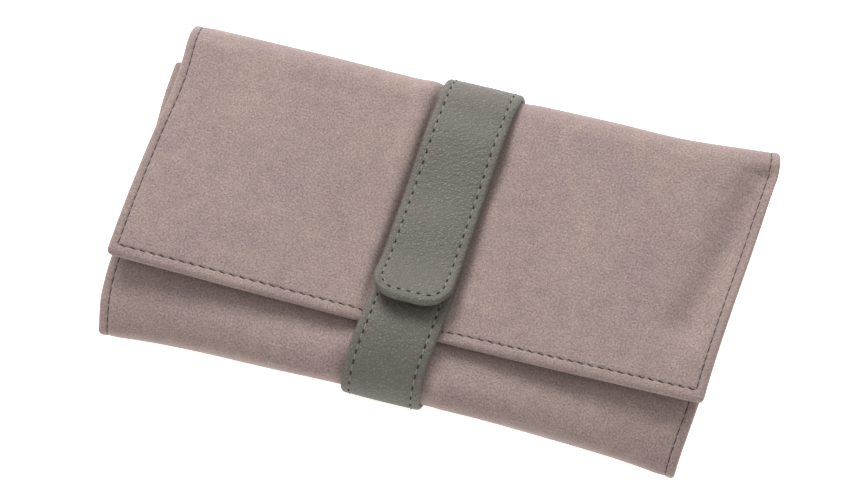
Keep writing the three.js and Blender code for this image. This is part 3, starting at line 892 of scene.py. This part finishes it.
# The strap's lie along the sheet, and over the flap its upper end, the tab
TAB_ROOT = FLAP_FOLD + 0.3
TAB_TIP = flap_s(box("tab_face")[0][1]) + 1.2
LOWER_TIP = flap_s(box("lower_strap_face")[1][1])
ARCH = 2.2
ARCH_TOP = FLAP_FOLD + 14.0
ARCH_END = FLAP_FOLD + 40.0
RAMP_START = LOWER_TIP - 30.0
RAMP_END = LOWER_TIP + 2.0
TIP_CURL = 4.2
TIP_THINNER = 0.6
TIP_REACH = 22.0
UNDER_STRETCH = (FRONT_MID, BASE_FRONT + 4, BASE_BACK - 4, BACK_MID)
END_STRETCH = (BACK_MID, FLAP_FOLD + 12)


def raise_line(x, lift, here, ahead, behind):
    """Points at a lift over a line in the (y, z) plane, at its left as it runs, shifted across by x."""
    way_y, way_z = np.moveaxis(unit((ahead - behind)[..., 1:]), -1, 0)
    return here + np.stack([x, -way_z * lift, way_y * lift], -1)


def strap_point(x, s, lift):
    """Points of the strap in space, x from its own middle."""
    x, s, lift = np.broadcast_arrays(x, s, lift)
    here, ahead, behind = [
        sheet_point(strap_shift(place), place, -STRAP_SINK * strap_groove(place))
        for place in (s, s - LINE_STEP, s + LINE_STEP)
    ]
    return raise_line(x, lift, here, ahead, behind)


def strap_thickness(s):
    """The strap is thinner round the folds than at its two ends, and thinnest under the base."""
    thicker = (END_THICKNESS - FOLD_THICKNESS) * ease(s, *END_STRETCH)
    return FOLD_THICKNESS + thicker - (FOLD_THICKNESS - UNDER_THICKNESS) * between(s, *UNDER_STRETCH)


def tab_low(s):
    """Under side of the tab over the flap: it climbs onto the thin tail of the lower strap."""
    tail = (TAIL_THICKNESS + TAIL_ROOM) * ease(s, RAMP_START, RAMP_END)
    thicker = (LOWER_THICKNESS - TAIL_THICKNESS) * ease(s, RAMP_END, LOWER_TIP + TAIL_LENGTH)
    arch = ARCH * between(s, TAB_ROOT, ARCH_TOP, ARCH_TOP, ARCH_END)
    return STRAP_GAP + arch + tail + thicker + TIP_CURL * ease(s, TAB_TIP - TIP_REACH, TAB_TIP)


def tab_thickness(s):
    return strap_thickness(s) - TIP_THINNER * ease(s, TAB_TIP - TIP_REACH, TAB_TIP)


# The lower end leaves the front fold and lies over the flap: v is the length along it
LEAVE_ANGLE = math.radians(56.3)
LEAVE = FRONT_MID - LEAVE_ANGLE * FRONT_RADIUS
FLAP_HOLD = SHEET_END - 5.0
FLAP_GAP = 0.3
LANDING = 10
LOWER_LINING_START = 8.0
LOWER_THICKENING = 14
LOWER_HOLLOWING = 6
TAIL_FULL = 2


def free_run(t):
    """The stretch from the front fold to the flap, touching nothing, t from 0 to 1."""
    start, before = [strap_point(0.0, s, STRAP_GAP) for s in (LEAVE, LEAVE + LINE_STEP)]
    end, after = [strap_point(0.0, s, FLAP_GAP) for s in (FLAP_HOLD, FLAP_HOLD - LINE_STEP)]
    chord = np.linalg.norm((end - start)[1:])
    leave_way, land_way = [
        step / np.linalg.norm(step[1:]) * chord for step in (start - before, after - end)
    ]
    t = np.asarray(t)[..., None]
    return (
        (2 * t**3 - 3 * t**2 + 1) * start
        + (t**3 - 2 * t**2 + t) * leave_way
        + (3 * t**2 - 2 * t**3) * end
        + (t**3 - t**2) * land_way
    )


RUN_LENGTH = travelled(free_run(np.linspace(0, 1, 81)))[-1]
LOWER_LENGTH = RUN_LENGTH + FLAP_HOLD - LOWER_TIP


def lower_line(v):
    """Point under the middle of the lower strap at a length along it."""
    v = np.asarray(v, float)
    flat_s = FLAP_HOLD - np.maximum(v - RUN_LENGTH, 0)
    flat_lift = FLAP_GAP + (STRAP_GAP - FLAP_GAP) * ease(v, RUN_LENGTH, RUN_LENGTH + LANDING)
    flat = strap_point(0.0, flat_s, flat_lift)
    return np.where((v <= RUN_LENGTH)[..., None], free_run(np.clip(v / RUN_LENGTH, 0, 1)), flat)


def lower_point(x, v, lift):
    """Points of the lower strap in space."""
    x, v, lift = np.broadcast_arrays(x, v, lift)
    ahead = lower_line(np.minimum(v + LINE_STEP, LOWER_LENGTH))
    behind = lower_line(np.maximum(v - LINE_STEP, 0))
    return raise_line(x, lift, lower_line(v), ahead, behind)


def lower_thickness(v):
    thicker = (LOWER_THICKNESS - FOLD_THICKNESS) * ease(v, 0, LOWER_THICKENING)
    tail = ease(v, LOWER_LENGTH - TAIL_LENGTH, LOWER_LENGTH - TAIL_FULL)
    return FOLD_THICKNESS + thicker - (LOWER_THICKNESS - TAIL_THICKNESS) * tail


class StrapRun:
    """Lifts of a run of the strap. One with a tip is an end, turned in round a lining."""

    def __init__(self, point, low, thickness, room, tip=np.inf, lining_start=-np.inf):
        self.point = point
        self.leather = (point, self.top, self.bottom)
        self.backing = (point, self.lining_top, self.lining_bottom)
        self.low = low
        self.thickness = thickness
        self.room = room
        self.tip = tip
        self.lining_start = lining_start

    def edge(self, x, s):
        return np.minimum(STRAP_HALF - np.abs(x), self.tip - s)

    def top(self, x, s):
        """Outer face: soft round edges, a sewn groove and a slight crown."""
        d = self.edge(x, s)
        half = self.thickness(s) / 2
        crown = STRAP_CROWN * (1 - (x / STRAP_HALF) ** 2)
        groove = STRAP_GROOVE * bell(d - STRAP_SEAM, STRAP_GROOVE_WIDTH)
        return self.low(s) + half + (half + crown - groove) * rounded(d, STRAP_ROUND)

    def bottom(self, x, s):
        """Inner face, which leaves room for a lining."""
        d = self.edge(x, s)
        half = self.thickness(s) / 2
        room = self.room(s) * ease(d, TURN_IN - TURN_IN_EDGE, TURN_IN + TURN_IN_EDGE)
        return self.low(s) + half - half * rounded(d, STRAP_ROUND) + room

    def lining(self, x, s, way):
        """Upper face of the lining with a way of 1, lower face with -1."""
        d = np.minimum(self.edge(x, s) - TURN_IN, s - self.lining_start)
        half = STRAP_LINING / 2
        return self.low(s) + half + way * half * STRAP_LINING_FILL * rounded(d, STRAP_LINING_ROUND)

    def lining_top(self, x, s):
        return self.lining(x, s, 1)

    def lining_bottom(self, x, s):
        return self.lining(x, s, -1)


WRAP = StrapRun(strap_point, lambda s: STRAP_GAP, strap_thickness, lambda s: 0.0)
TAB = StrapRun(strap_point, tab_low, tab_thickness, lambda s: STRAP_LINING, TAB_TIP)
LOWER = StrapRun(
    lower_point,
    lambda v: 0.0,
    lower_thickness,
    lambda v: STRAP_LINING * ease(v, 0, LOWER_HOLLOWING),
    LOWER_LENGTH,
    LOWER_LINING_START,
)

# How the two ends bend at their roots
BEND_LENGTH = 9.0
TAB_BEND_HEIGHT = 0.035
LOWER_BEND_LIFT = 1.0
tab_end = box("tab_face")[1][1]
TAB_BEND = ("flap", "tab", *[(0, y * MM, TAB_BEND_HEIGHT) for y in (tab_end, tab_end - BEND_LENGTH)])
LOWER_BEND = (
    "leaf",
    "lower_strap",
    *[(0, *(lower_point(0.0, v, LOWER_BEND_LIFT) * MM)[1:]) for v in (0.0, BEND_LENGTH)],
)

STRAP_FILL = 0.9
STRAP_STEP = 1.6
WRAP_STEP = 2.0
LOWER_STEP = 1.4
STRAP_ACROSS = graded(-STRAP_HALF, STRAP_HALF, STRAP_STEP, FINE_RIM)
BACKING_ACROSS = graded(-STRAP_HALF + TURN_IN, STRAP_HALF - TURN_IN, WRAP_STEP, THIN_RIM)
STRAP_PITCH = 4.15
TIP_PITCH = 3.5
SEAM_X = STRAP_HALF - STRAP_SEAM

# Stitches of the strap: kind, length, radius, in the gaps or not, look, rise
STRAP_STITCHES = [
    ("thread", 2.2, 0.22, False, GREY_THREAD, 0.5),
    # The holes row puts near-black marks, raised on the leather, at the needle holes: painted shade of the
    # holes
    ("holes", 1.6, 0.36, True, NEEDLE_HOLE_SHADE, 0.45),
]

# Pieces of the strap round the roll: start and end along s, way of moving, solids
STRAP_WRAPS = {
    "strap_back_lower": (BASE_BACK, BACK_MID, BACK_LOWER, ["strap_back_wrap"]),
    "strap_back_upper": (BACK_MID, TAB_ROOT, BACK_UPPER, []),
    "strap_front_lower": (FRONT_MID, BASE_FRONT, FRONT_LOWER, ["strap_front_wrap"]),
    "strap_front_upper": (LEAVE, FRONT_MID, FRONT_UPPER, []),
    "strap_under": (BASE_FRONT, BASE_BACK, "base", ["strap_underside"]),
}


def strap_threads(name, paths, run, height, way, rise=1, pitch=STRAP_PITCH):
    """Grey thread between near-black marks that paint the shade of the needle holes."""
    for kind, length, radius, in_gaps, look, arch in STRAP_STITCHES:
        stitches = seam(paths, pitch, length, gaps=in_gaps)
        piece = tube_dashes(f"{name}_{kind}", *stitches, run.point, height, radius, look, arch * rise)
        move_with(piece, way)


def build_strap_end(name, run, root, step, way):
    """Leather round a core and a magnet, and the lining behind it."""
    along = graded(root, run.tip, step, FINE_RIM, False)
    leather = slab(f"{name}_leather", STRAP_ACROSS, along, run.leather, LEATHER, (False, True), TAB_CORNER)
    dress(leather, [f"{name}_{layer}" for layer in ("face", "core", "magnet")], way, fill=STRAP_FILL)
    start, end = max(root, run.lining_start), run.tip - TURN_IN
    free = (start > root, True)
    along = graded(start, end, WRAP_STEP, THIN_RIM, free[0])
    cloth = slab(f"{name}_backing", BACKING_ACROSS, along, run.backing, BACKING, free, TAB_CORNER - TURN_IN)
    dress(cloth, [f"{name}_lining"], way, flat=(2 * BACKING_ACROSS[-1], end - start))


def tip_seam(start, tip):
    """A seam round the tip of a strap end."""
    return bent_path([(-SEAM_X, start), (-SEAM_X, tip), (SEAM_X, tip), (SEAM_X, start)], SEAM_TURN)


def side_seams(low, high):
    return [[(x, low), (x, high)] for x in (-SEAM_X, SEAM_X)]


def build_strap():
    """The strap round the roll, the tab and the lower end, with their seams."""
    for name, (low, high, way, nodes) in STRAP_WRAPS.items():
        along = along_sheet(low, high, WRAP_STEP, FOLD_STEP, FINE_RIM)
        piece = slab(name, STRAP_ACROSS, along, WRAP.leather, LEATHER)
        dress(piece, nodes, way, fill=STRAP_FILL)
        strap_threads(name, side_seams(low, high), WRAP, WRAP.top, way)

    build_strap_end("tab", TAB, TAB_ROOT, STRAP_STEP, TAB_BEND)
    tip = TAB_TIP - STRAP_SEAM
    turn = tip - SEAM_TURN
    for name, height, rise in (("tab", TAB.top, 1), ("tab_back", TAB.lining_bottom, -1)):
        strap_threads(name, side_seams(TAB_ROOT, turn), TAB, height, TAB_BEND, rise)
        strap_threads(f"{name}_tip", [tip_seam(turn, tip)], TAB, height, TAB_BEND, rise, TIP_PITCH)

    build_strap_end("lower_strap", LOWER, 0.0, LOWER_STEP, LOWER_BEND)
    tip = LOWER_LENGTH - STRAP_SEAM
    for name, start, height, rise in (
        ("lower_strap", 0, LOWER.top, 1),
        ("lower_strap_back", LOWER_LINING_START, LOWER.lining_bottom, -1),
    ):
        strap_threads(name, [tip_seam(start, tip)], LOWER, height, LOWER_BEND, rise, TIP_PITCH)


# Inside: pockets, zip, ring cushion and earring panel
ALONG_BODY = {"leaf": leaf_s, "base": base_s, "flap": flap_s}
POCKET_CLOTH = 0.75
POCKET_ROUND = 0.35
POCKET_CORNER = 2.5
POCKET_SEAM = 1.7
POCKET_GROOVE = 0.16
POCKET_GROOVE_WIDTH = 0.4
MOUTH_HEM = 5.0
HEM_STEP = 0.35
HEM_STEP_WIDTH = 0.5
HEM_GROOVE = 0.12
PUFF_REACH = 16.0
SEAT_GAP = 0.12
POCKET_PITCH = 2.6
POCKET_STITCH = 1.8
POCKET_THREAD_RADIUS = 0.16
POCKET_THREAD_RISE = -0.8
BINDING_FILL = 0.9
CLOTH_STEP = 3.0
CLOTH_RIM = [0, 0.06, 0.2, 0.5, 1.1, 1.5, 1.7, 1.9, 2.4, 4.0, 5.0, 5.4, 6.5]


class Patch:
    """A cloth patch sewn on the lining for a solid. Its mouth is its end 0 or 1 along s, or None."""

    def __init__(
        self, node, body, thickness=POCKET_CLOTH, puff=0.0, mouth=None,
        reach=PUFF_REACH, hem=MOUTH_HEM, lies_on=None,
    ):
        low, high = box(node)
        self.node = node
        self.body = body
        self.x_span = low[0], high[0]
        self.s_span = sorted(ALONG_BODY[body](y) for y in (low[1], high[1]))
        self.thickness = thickness
        self.puff = puff
        self.mouth = None if mouth is None else self.s_span[mouth]
        self.reach = reach
        self.hem = hem
        self.lies_on = lies_on
        self.layer = (sheet_point, self.top, self.bottom)

    def sewn_distance(self, x, s):
        """Distance to the nearest sewn edge."""
        distance = np.minimum(x - self.x_span[0], self.x_span[1] - x)
        for end, inward in zip(self.s_span, (1, -1)):
            if end != self.mouth:
                distance = np.minimum(distance, (s - end) * inward)
        return distance

    def mouth_distance(self, s):
        return np.full(np.shape(s), np.inf) if self.mouth is None else np.abs(s - self.mouth)

    def middle(self, x, s):
        """Middle of the cloth's thickness."""
        seat = self.lies_on.bottom(x, s) if self.lies_on else -PANEL
        swell = self.puff * ease(self.sewn_distance(x, s), POCKET_SEAM, self.reach)
        return seat - SEAT_GAP - self.thickness / 2 - swell

    def share(self, x, s):
        return rounded(np.minimum(self.sewn_distance(x, s), self.mouth_distance(s)), POCKET_ROUND)

    def top(self, x, s):
        return self.middle(x, s) + self.thickness / 2 * self.share(x, s)

    def bottom(self, x, s):
        """The face that shows, with the sewn groove and the doubled cloth at the mouth."""
        mouth = self.mouth_distance(s)
        groove = POCKET_GROOVE * bell(self.sewn_distance(x, s) - POCKET_SEAM, POCKET_GROOVE_WIDTH)
        groove = groove + HEM_GROOVE * bell(mouth - self.hem, POCKET_GROOVE_WIDTH)
        hem_height = HEM_STEP * (1 - ease(mouth, self.hem, self.hem + HEM_STEP_WIDTH))
        return self.middle(x, s) - (self.thickness / 2 - groove + hem_height) * self.share(x, s)

    def flat_size(self):
        """Width and length of the cloth, with the hem turned in at its mouth."""
        turned_in = 0.0 if self.mouth is None else self.hem
        return np.ptp(self.x_span), np.ptp(self.s_span) + turned_in

    def build(self, name, look, step=CLOTH_STEP):
        """Makes the patch and its stitches. One that lies on another patch is a thick binding."""
        across, along = [graded(*span, step, CLOTH_RIM) for span in (self.x_span, self.s_span)]
        piece = slab(name, across, along, self.layer, look, (True, True), POCKET_CORNER)
        soft = {"fill": BINDING_FILL} if self.lies_on else {"flat": self.flat_size()}
        dress(piece, [self.node], self.body, **soft)
        self.sew(name, look[1])
        return piece

    def sew(self, name, slot):
        """Stitches along the sewn edges, and along the hem of the mouth."""
        x_low, x_high = self.x_span[0] + POCKET_SEAM, self.x_span[1] - POCKET_SEAM
        s_low, s_high = self.s_span[0] + POCKET_SEAM, self.s_span[1] - POCKET_SEAM
        paths = [[(x, s_low), (x, s_high)] for x in (x_low, x_high)]
        for end, inside in zip(self.s_span, (s_low, s_high)):
            place = inside if end != self.mouth else end + np.sign(inside - end) * self.hem
            paths.append([(x_low, place), (x_high, place)])
        stitches = seam(paths, POCKET_PITCH, POCKET_STITCH)
        thread = tube_dashes(
            f"{name}_stitches", *stitches, sheet_point, self.bottom, POCKET_THREAD_RADIUS,
            (LINING_THREAD, slot), POCKET_THREAD_RISE, rings=5, sides=5,
        )
        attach(thread, self.body)


def sweep(name, centres, normals, radius, look, sides=6, closed=False):
    """A round tube along a line of points, whose ring starts along the normals."""
    if closed:
        tangent = unit(np.roll(centres, -1, 0) - np.roll(centres, 1, 0))
    else:
        tangent = unit(np.gradient(centres, axis=0))
    sideways = unit(np.cross(tangent, normals))
    upright = np.cross(sideways, tangent)
    angles = np.linspace(0, 2 * np.pi, sides, endpoint=False)[None, :, None]
    ring = np.cos(angles) * upright[:, None] + np.sin(angles) * sideways[:, None]
    points = centres[:, None] + radius * ring
    around = np.linspace(0, 2 * np.pi * radius, sides)
    uv = np.stack(np.broadcast_arrays(around, travelled(centres)[:, None]), -1)
    return make_object(name, points, tube_faces(len(centres), sides, closed=closed), uv, look)


TAPE_THICKNESS = 0.5
TAPE_STEPS = (4.0, 1.5)
TAPE_RIM = [0, 0.05, 0.2, 0.6]
COIL_WIRE = 0.24
COIL_PITCH = 1.2
COIL_POINTS = 12
COIL_SIDES = 5


def build_zip():
    """Woven tapes and, along their edges, a spiral of nylon for teeth."""
    for index, side in enumerate(("front", "back")):
        tape = Patch(f"zip_tape_{side}", "base", TAPE_THICKNESS)
        across = graded(*tape.x_span, TAPE_STEPS[0], THIN_RIM)
        along = graded(*tape.s_span, TAPE_STEPS[1], TAPE_RIM)
        cloth = slab(f"zip_{side}_tape", across, along, tape.layer, TAPE, (True, True))
        dress(cloth, [tape.node], "base", flat=tape.flat_size())
        low, high = box(f"zip_coil_{side}")
        middle, reach = (low + high) / 2, (high - low) / 2 - COIL_WIRE
        turns = (high[0] - low[0] - 2 * COIL_WIRE) / COIL_PITCH
        angle = np.linspace(0, 2 * np.pi * turns, int(turns * COIL_POINTS)) + np.pi * index
        radial = np.stack([0 * angle, np.cos(angle), np.sin(angle)], -1)
        centres = middle + reach * radial
        centres[:, 0] = np.linspace(low[0] + COIL_WIRE, high[0] - COIL_WIRE, len(angle))
        coil = sweep(f"zip_{side}_teeth", centres, radial, COIL_WIRE, COIL, COIL_SIDES)
        dress(coil, [f"zip_coil_{side}"], "base")


ROLLS = 4
ROLL_FILL = 0.85
ROLL_SIDES = 28
ROLL_STEP = 3.0
ROLL_RIM = [0, 0.04, 0.15, 0.4, 0.8, 1.3, 1.9, 2.6, 3.6, 5.0]
ROLL_SWELL = 1.02
ROLL_END_ROUND = 2.6
ROLL_END_FACE = 0.06
ROLL_GATHER = 0.05
ROLL_PLEATS = 9
ROLL_GATHER_REACH = (1.5, 8)
ROLL_UNEVEN = 0.012
ROLL_WAVE = 0.11
ROLL_SEAT = 0.02
ROLL_UV_STEP = 31


def build_ring_cushion():
    """Velour rolls side by side, gathered at their ends."""
    angle = np.linspace(0, 2 * np.pi, ROLL_SIDES, endpoint=False)
    for index in range(1, ROLLS + 1):
        low, high = box(f"ring_roll_{index}")
        middle, radius = (low + high) / 2, (high[1] - low[1]) / 2
        x = graded(low[0], high[0], ROLL_STEP, ROLL_RIM)[:, None]
        end = np.minimum(x - low[0], high[0] - x)
        pleats = np.cos(ROLL_PLEATS * angle + index) ** 2 * (1 - ease(end, *ROLL_GATHER_REACH))
        uneven = np.sin(ROLL_WAVE * x + 2.0 * index) * np.sin(angle)
        size = radius * ROLL_SWELL * rounded(end + ROLL_END_FACE, ROLL_END_ROUND)
        size = size * (1 - ROLL_GATHER * pleats) * (1 + ROLL_UNEVEN * uneven)
        y = middle[1] + size * np.cos(angle)
        z = np.maximum(middle[2] + size * np.sin(angle), low[2] + ROLL_SEAT)
        points = np.stack(np.broadcast_arrays(x, y, z), -1)
        uv = np.stack(np.broadcast_arrays(x, angle * radius + ROLL_UV_STEP * index), -1)
        piece = make_object(f"ring_cushion_{index}", points, tube_faces(len(x), ROLL_SIDES), uv, CUSHION)
        dress(piece, [f"ring_roll_{index}"], "base", fill=ROLL_FILL)


HOLE_SIDES = 20
PUNCH_LENGTH = 6


def punch(piece, centres, radius):
    """Cuts round holes through a piece, at points in millimetres."""
    shape = bmesh.new()
    for centre in centres:
        bmesh.ops.create_cone(
            shape, cap_ends=True, segments=HOLE_SIDES, radius1=radius * MM, radius2=radius * MM,
            depth=PUNCH_LENGTH * MM, matrix=Matrix.Translation(Vector(centre) * MM),
        )
    mesh = bpy.data.meshes.new("punch")
    shape.to_mesh(mesh)
    shape.free()
    cutter = add_object("punch", mesh)
    cut = piece.modifiers.new("holes", "BOOLEAN")
    cut.object = cutter
    cut.solver = "EXACT"
    done = bpy.data.meshes.new_from_object(piece.evaluated_get(bpy.context.evaluated_depsgraph_get()))
    piece.modifiers.clear()
    piece.data = done
    bpy.data.objects.remove(cutter)


EARRING_THICKNESS = 1.1
EARRING_STEP = 2.4
EARRING_ROWS = 3
EARRING_COLUMNS = 6
EARRING_MARGIN = 10
EARRING_HOLE = 1.2
EYELET_RADIUS = 1.55
EYELET_THREAD = 0.3
SLIP_PUFF = 0.5
LEAF_PUFF = 0.4
BINDING_THICKNESS = 0.6
BINDING_STEP = 2.0
ZIP_PANEL_STEP = 2.6
ZIP_HEM = 2.2
ZIP_REACH = 4.6
ZIP_RISE = 0.8


def build_flap_inside():
    """A leather panel with rows of bound holes for earrings, and a slip pocket."""
    panel = Patch("earring_panel", "flap", EARRING_THICKNESS)
    piece = panel.build("earring_leather", LEATHER, EARRING_STEP)
    columns, rows = [
        np.linspace(low + EARRING_MARGIN, high - EARRING_MARGIN, count)
        for (low, high), count in ((panel.x_span, EARRING_COLUMNS), (panel.s_span, EARRING_ROWS))
    ]
    x, s = [grid.ravel() for grid in np.meshgrid(columns, rows)]
    punch(piece, sheet_point(x, s, panel.middle(x, s)), EARRING_HOLE)
    angle = np.linspace(0, 2 * np.pi, HOLE_SIDES, endpoint=False)
    for index, (column, row) in enumerate(zip(x, s), 1):
        ring_x, ring_s = column + EYELET_RADIUS * np.cos(angle), row + EYELET_RADIUS * np.sin(angle)
        face = panel.bottom(ring_x, ring_s)
        centres = sheet_point(ring_x, ring_s, face)
        normals = centres - sheet_point(ring_x, ring_s, face + 1)
        eyelet = sweep(f"earring_eyelet_{index}", centres, normals, EYELET_THREAD, GREY_THREAD, closed=True)
        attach(eyelet, "flap")
    Patch("flap_pocket", "flap", puff=SLIP_PUFF, mouth=1).build("flap_pocket_cloth", POCKET)


def build_leaf_inside():
    """A slip pocket with a bound mouth."""
    pocket = Patch("leaf_pocket", "leaf", puff=LEAF_PUFF, mouth=0)
    pocket.build("leaf_pocket_cloth", POCKET)
    binding = Patch("leaf_pocket_binding", "leaf", BINDING_THICKNESS, lies_on=pocket)
    binding.build("leaf_pocket_edge", LEATHER, BINDING_STEP)


def build_base_inside():
    """The zip pocket's two panels, which rise from their sewn edges onto the tapes, and a slip pocket."""
    for side, zip_end in (("front", 1), ("back", 0)):
        panel = Patch(
            f"pocket_{side}_panel", "base", puff=ZIP_RISE, mouth=zip_end, reach=ZIP_REACH, hem=ZIP_HEM
        )
        panel.build(f"zip_pocket_{side}", POCKET, ZIP_PANEL_STEP)
    Patch("side_pocket", "base", puff=SLIP_PUFF, mouth=1).build("side_pocket_cloth", POCKET)


METAL_NODES = ["zip_slider", "zip_puller", "zip_top_stop_front", "zip_top_stop_back", "zip_end_stop"]
METAL_EDGE = 0.12


def dress_metal():
    """Satin nickel with slightly broken edges on the zip's metal pieces."""
    for node in METAL_NODES:
        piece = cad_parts[node]
        piece.data.materials.clear()
        piece.data.materials.append(NICKEL)
        edge = piece.modifiers.new("edge", "BEVEL")
        edge.width = METAL_EDGE * MM
        edge.segments = 2
        edge.limit_method = "ANGLE"


build_sheet()
build_strap()
build_zip()
build_base_inside()
build_ring_cushion()
build_leaf_inside()
build_flap_inside()
dress_metal()


# Stage: pale floor that glows, soft light, camera. Lengths are in metres here
FLOOR_HALF = 6.0
floor_mesh = bpy.data.meshes.new("floor")
floor_corners = [(x * FLOOR_HALF, y * FLOOR_HALF, 0) for x, y in ((-1, -1), (1, -1), (1, 1), (-1, 1))]
floor_mesh.from_pydata(floor_corners, [], [(0, 1, 2, 3)])
# The floor glows with warm light of its own: this washes out the roll's shadow on it and lights the roll's
# lower side from below, though the floor is no lamp
glowing_paper = Finish(
    "glowing_floor_paper",
    Roughness=0.9,
    Specular_IOR_Level=0.1,
    Emission_Color=(1, 0.97, 0.92, 1),
    Emission_Strength=0.75,
)
floor_mesh.materials.append(glowing_paper.use(Base_Color=glowing_paper.ramp(glowing_paper.noise(3.0), 0.93, 0.95)))
add_object("floor", floor_mesh)


def area_light(name, place, size, power):
    """A round lamp turned to the roll."""
    light = bpy.data.lights.new(name, "AREA")
    light.shape = "DISK"
    light.size = size
    light.energy = power
    lamp = add_object(name, light)
    lamp.location = place
    lamp.rotation_euler = (-Vector(place)).to_track_quat("-Z", "Y").to_euler()


area_light("key", (-0.62, 0.92, 1.1), size=0.9, power=21.0)
area_light("front_card", (0.3, -1.1, 0.5), size=1.0, power=2.2)


def studio_light(way, dim, bright):
    """A white tent, bright towards one way and dim away from it."""
    world = bpy.data.worlds.new("studio")
    world.use_nodes = True
    nodes, links = world.node_tree.nodes, world.node_tree.links
    toward = nodes.new("ShaderNodeVectorMath")
    toward.operation = "DOT_PRODUCT"
    toward.inputs[1].default_value = Vector(way).normalized()
    links.new(nodes.new("ShaderNodeTexCoord").outputs["Generated"], toward.inputs[0])
    level = nodes.new("ShaderNodeMapRange")
    for socket, value in {"From Min": -0.2, "From Max": 1.0, "To Min": dim, "To Max": bright}.items():
        level.inputs[socket].default_value = value
    links.new(toward.outputs["Value"], level.inputs["Value"])
    nodes["Background"].inputs["Color"].default_value = (1, 1, 1, 1)
    links.new(level.outputs["Result"], nodes["Background"].inputs["Strength"])
    bpy.context.scene.world = world


studio_light((0, 0.5, 0.87), dim=0.18, bright=0.84)
bpy.context.scene.view_settings.view_transform = "Standard"

CAMERA_AZIMUTH = math.radians(15.27)
CAMERA_ELEVATION = math.radians(63)
CAMERA_DISTANCE = 1.0989
CAMERA_TARGET = Vector((-0.0029, -0.00193, 0.015))
camera = add_object("camera", bpy.data.cameras.new("camera"))
camera.data.sensor_width = 36
camera.data.lens = 127.06
camera.data.clip_end = 50
back = Vector((
    math.sin(CAMERA_AZIMUTH) * math.cos(CAMERA_ELEVATION),
    -math.cos(CAMERA_AZIMUTH) * math.cos(CAMERA_ELEVATION),
    math.sin(CAMERA_ELEVATION),
))
camera.location = CAMERA_TARGET + back * CAMERA_DISTANCE
camera.rotation_euler = back.to_track_quat("Z", "Y").to_euler()
bpy.context.scene.camera = camera
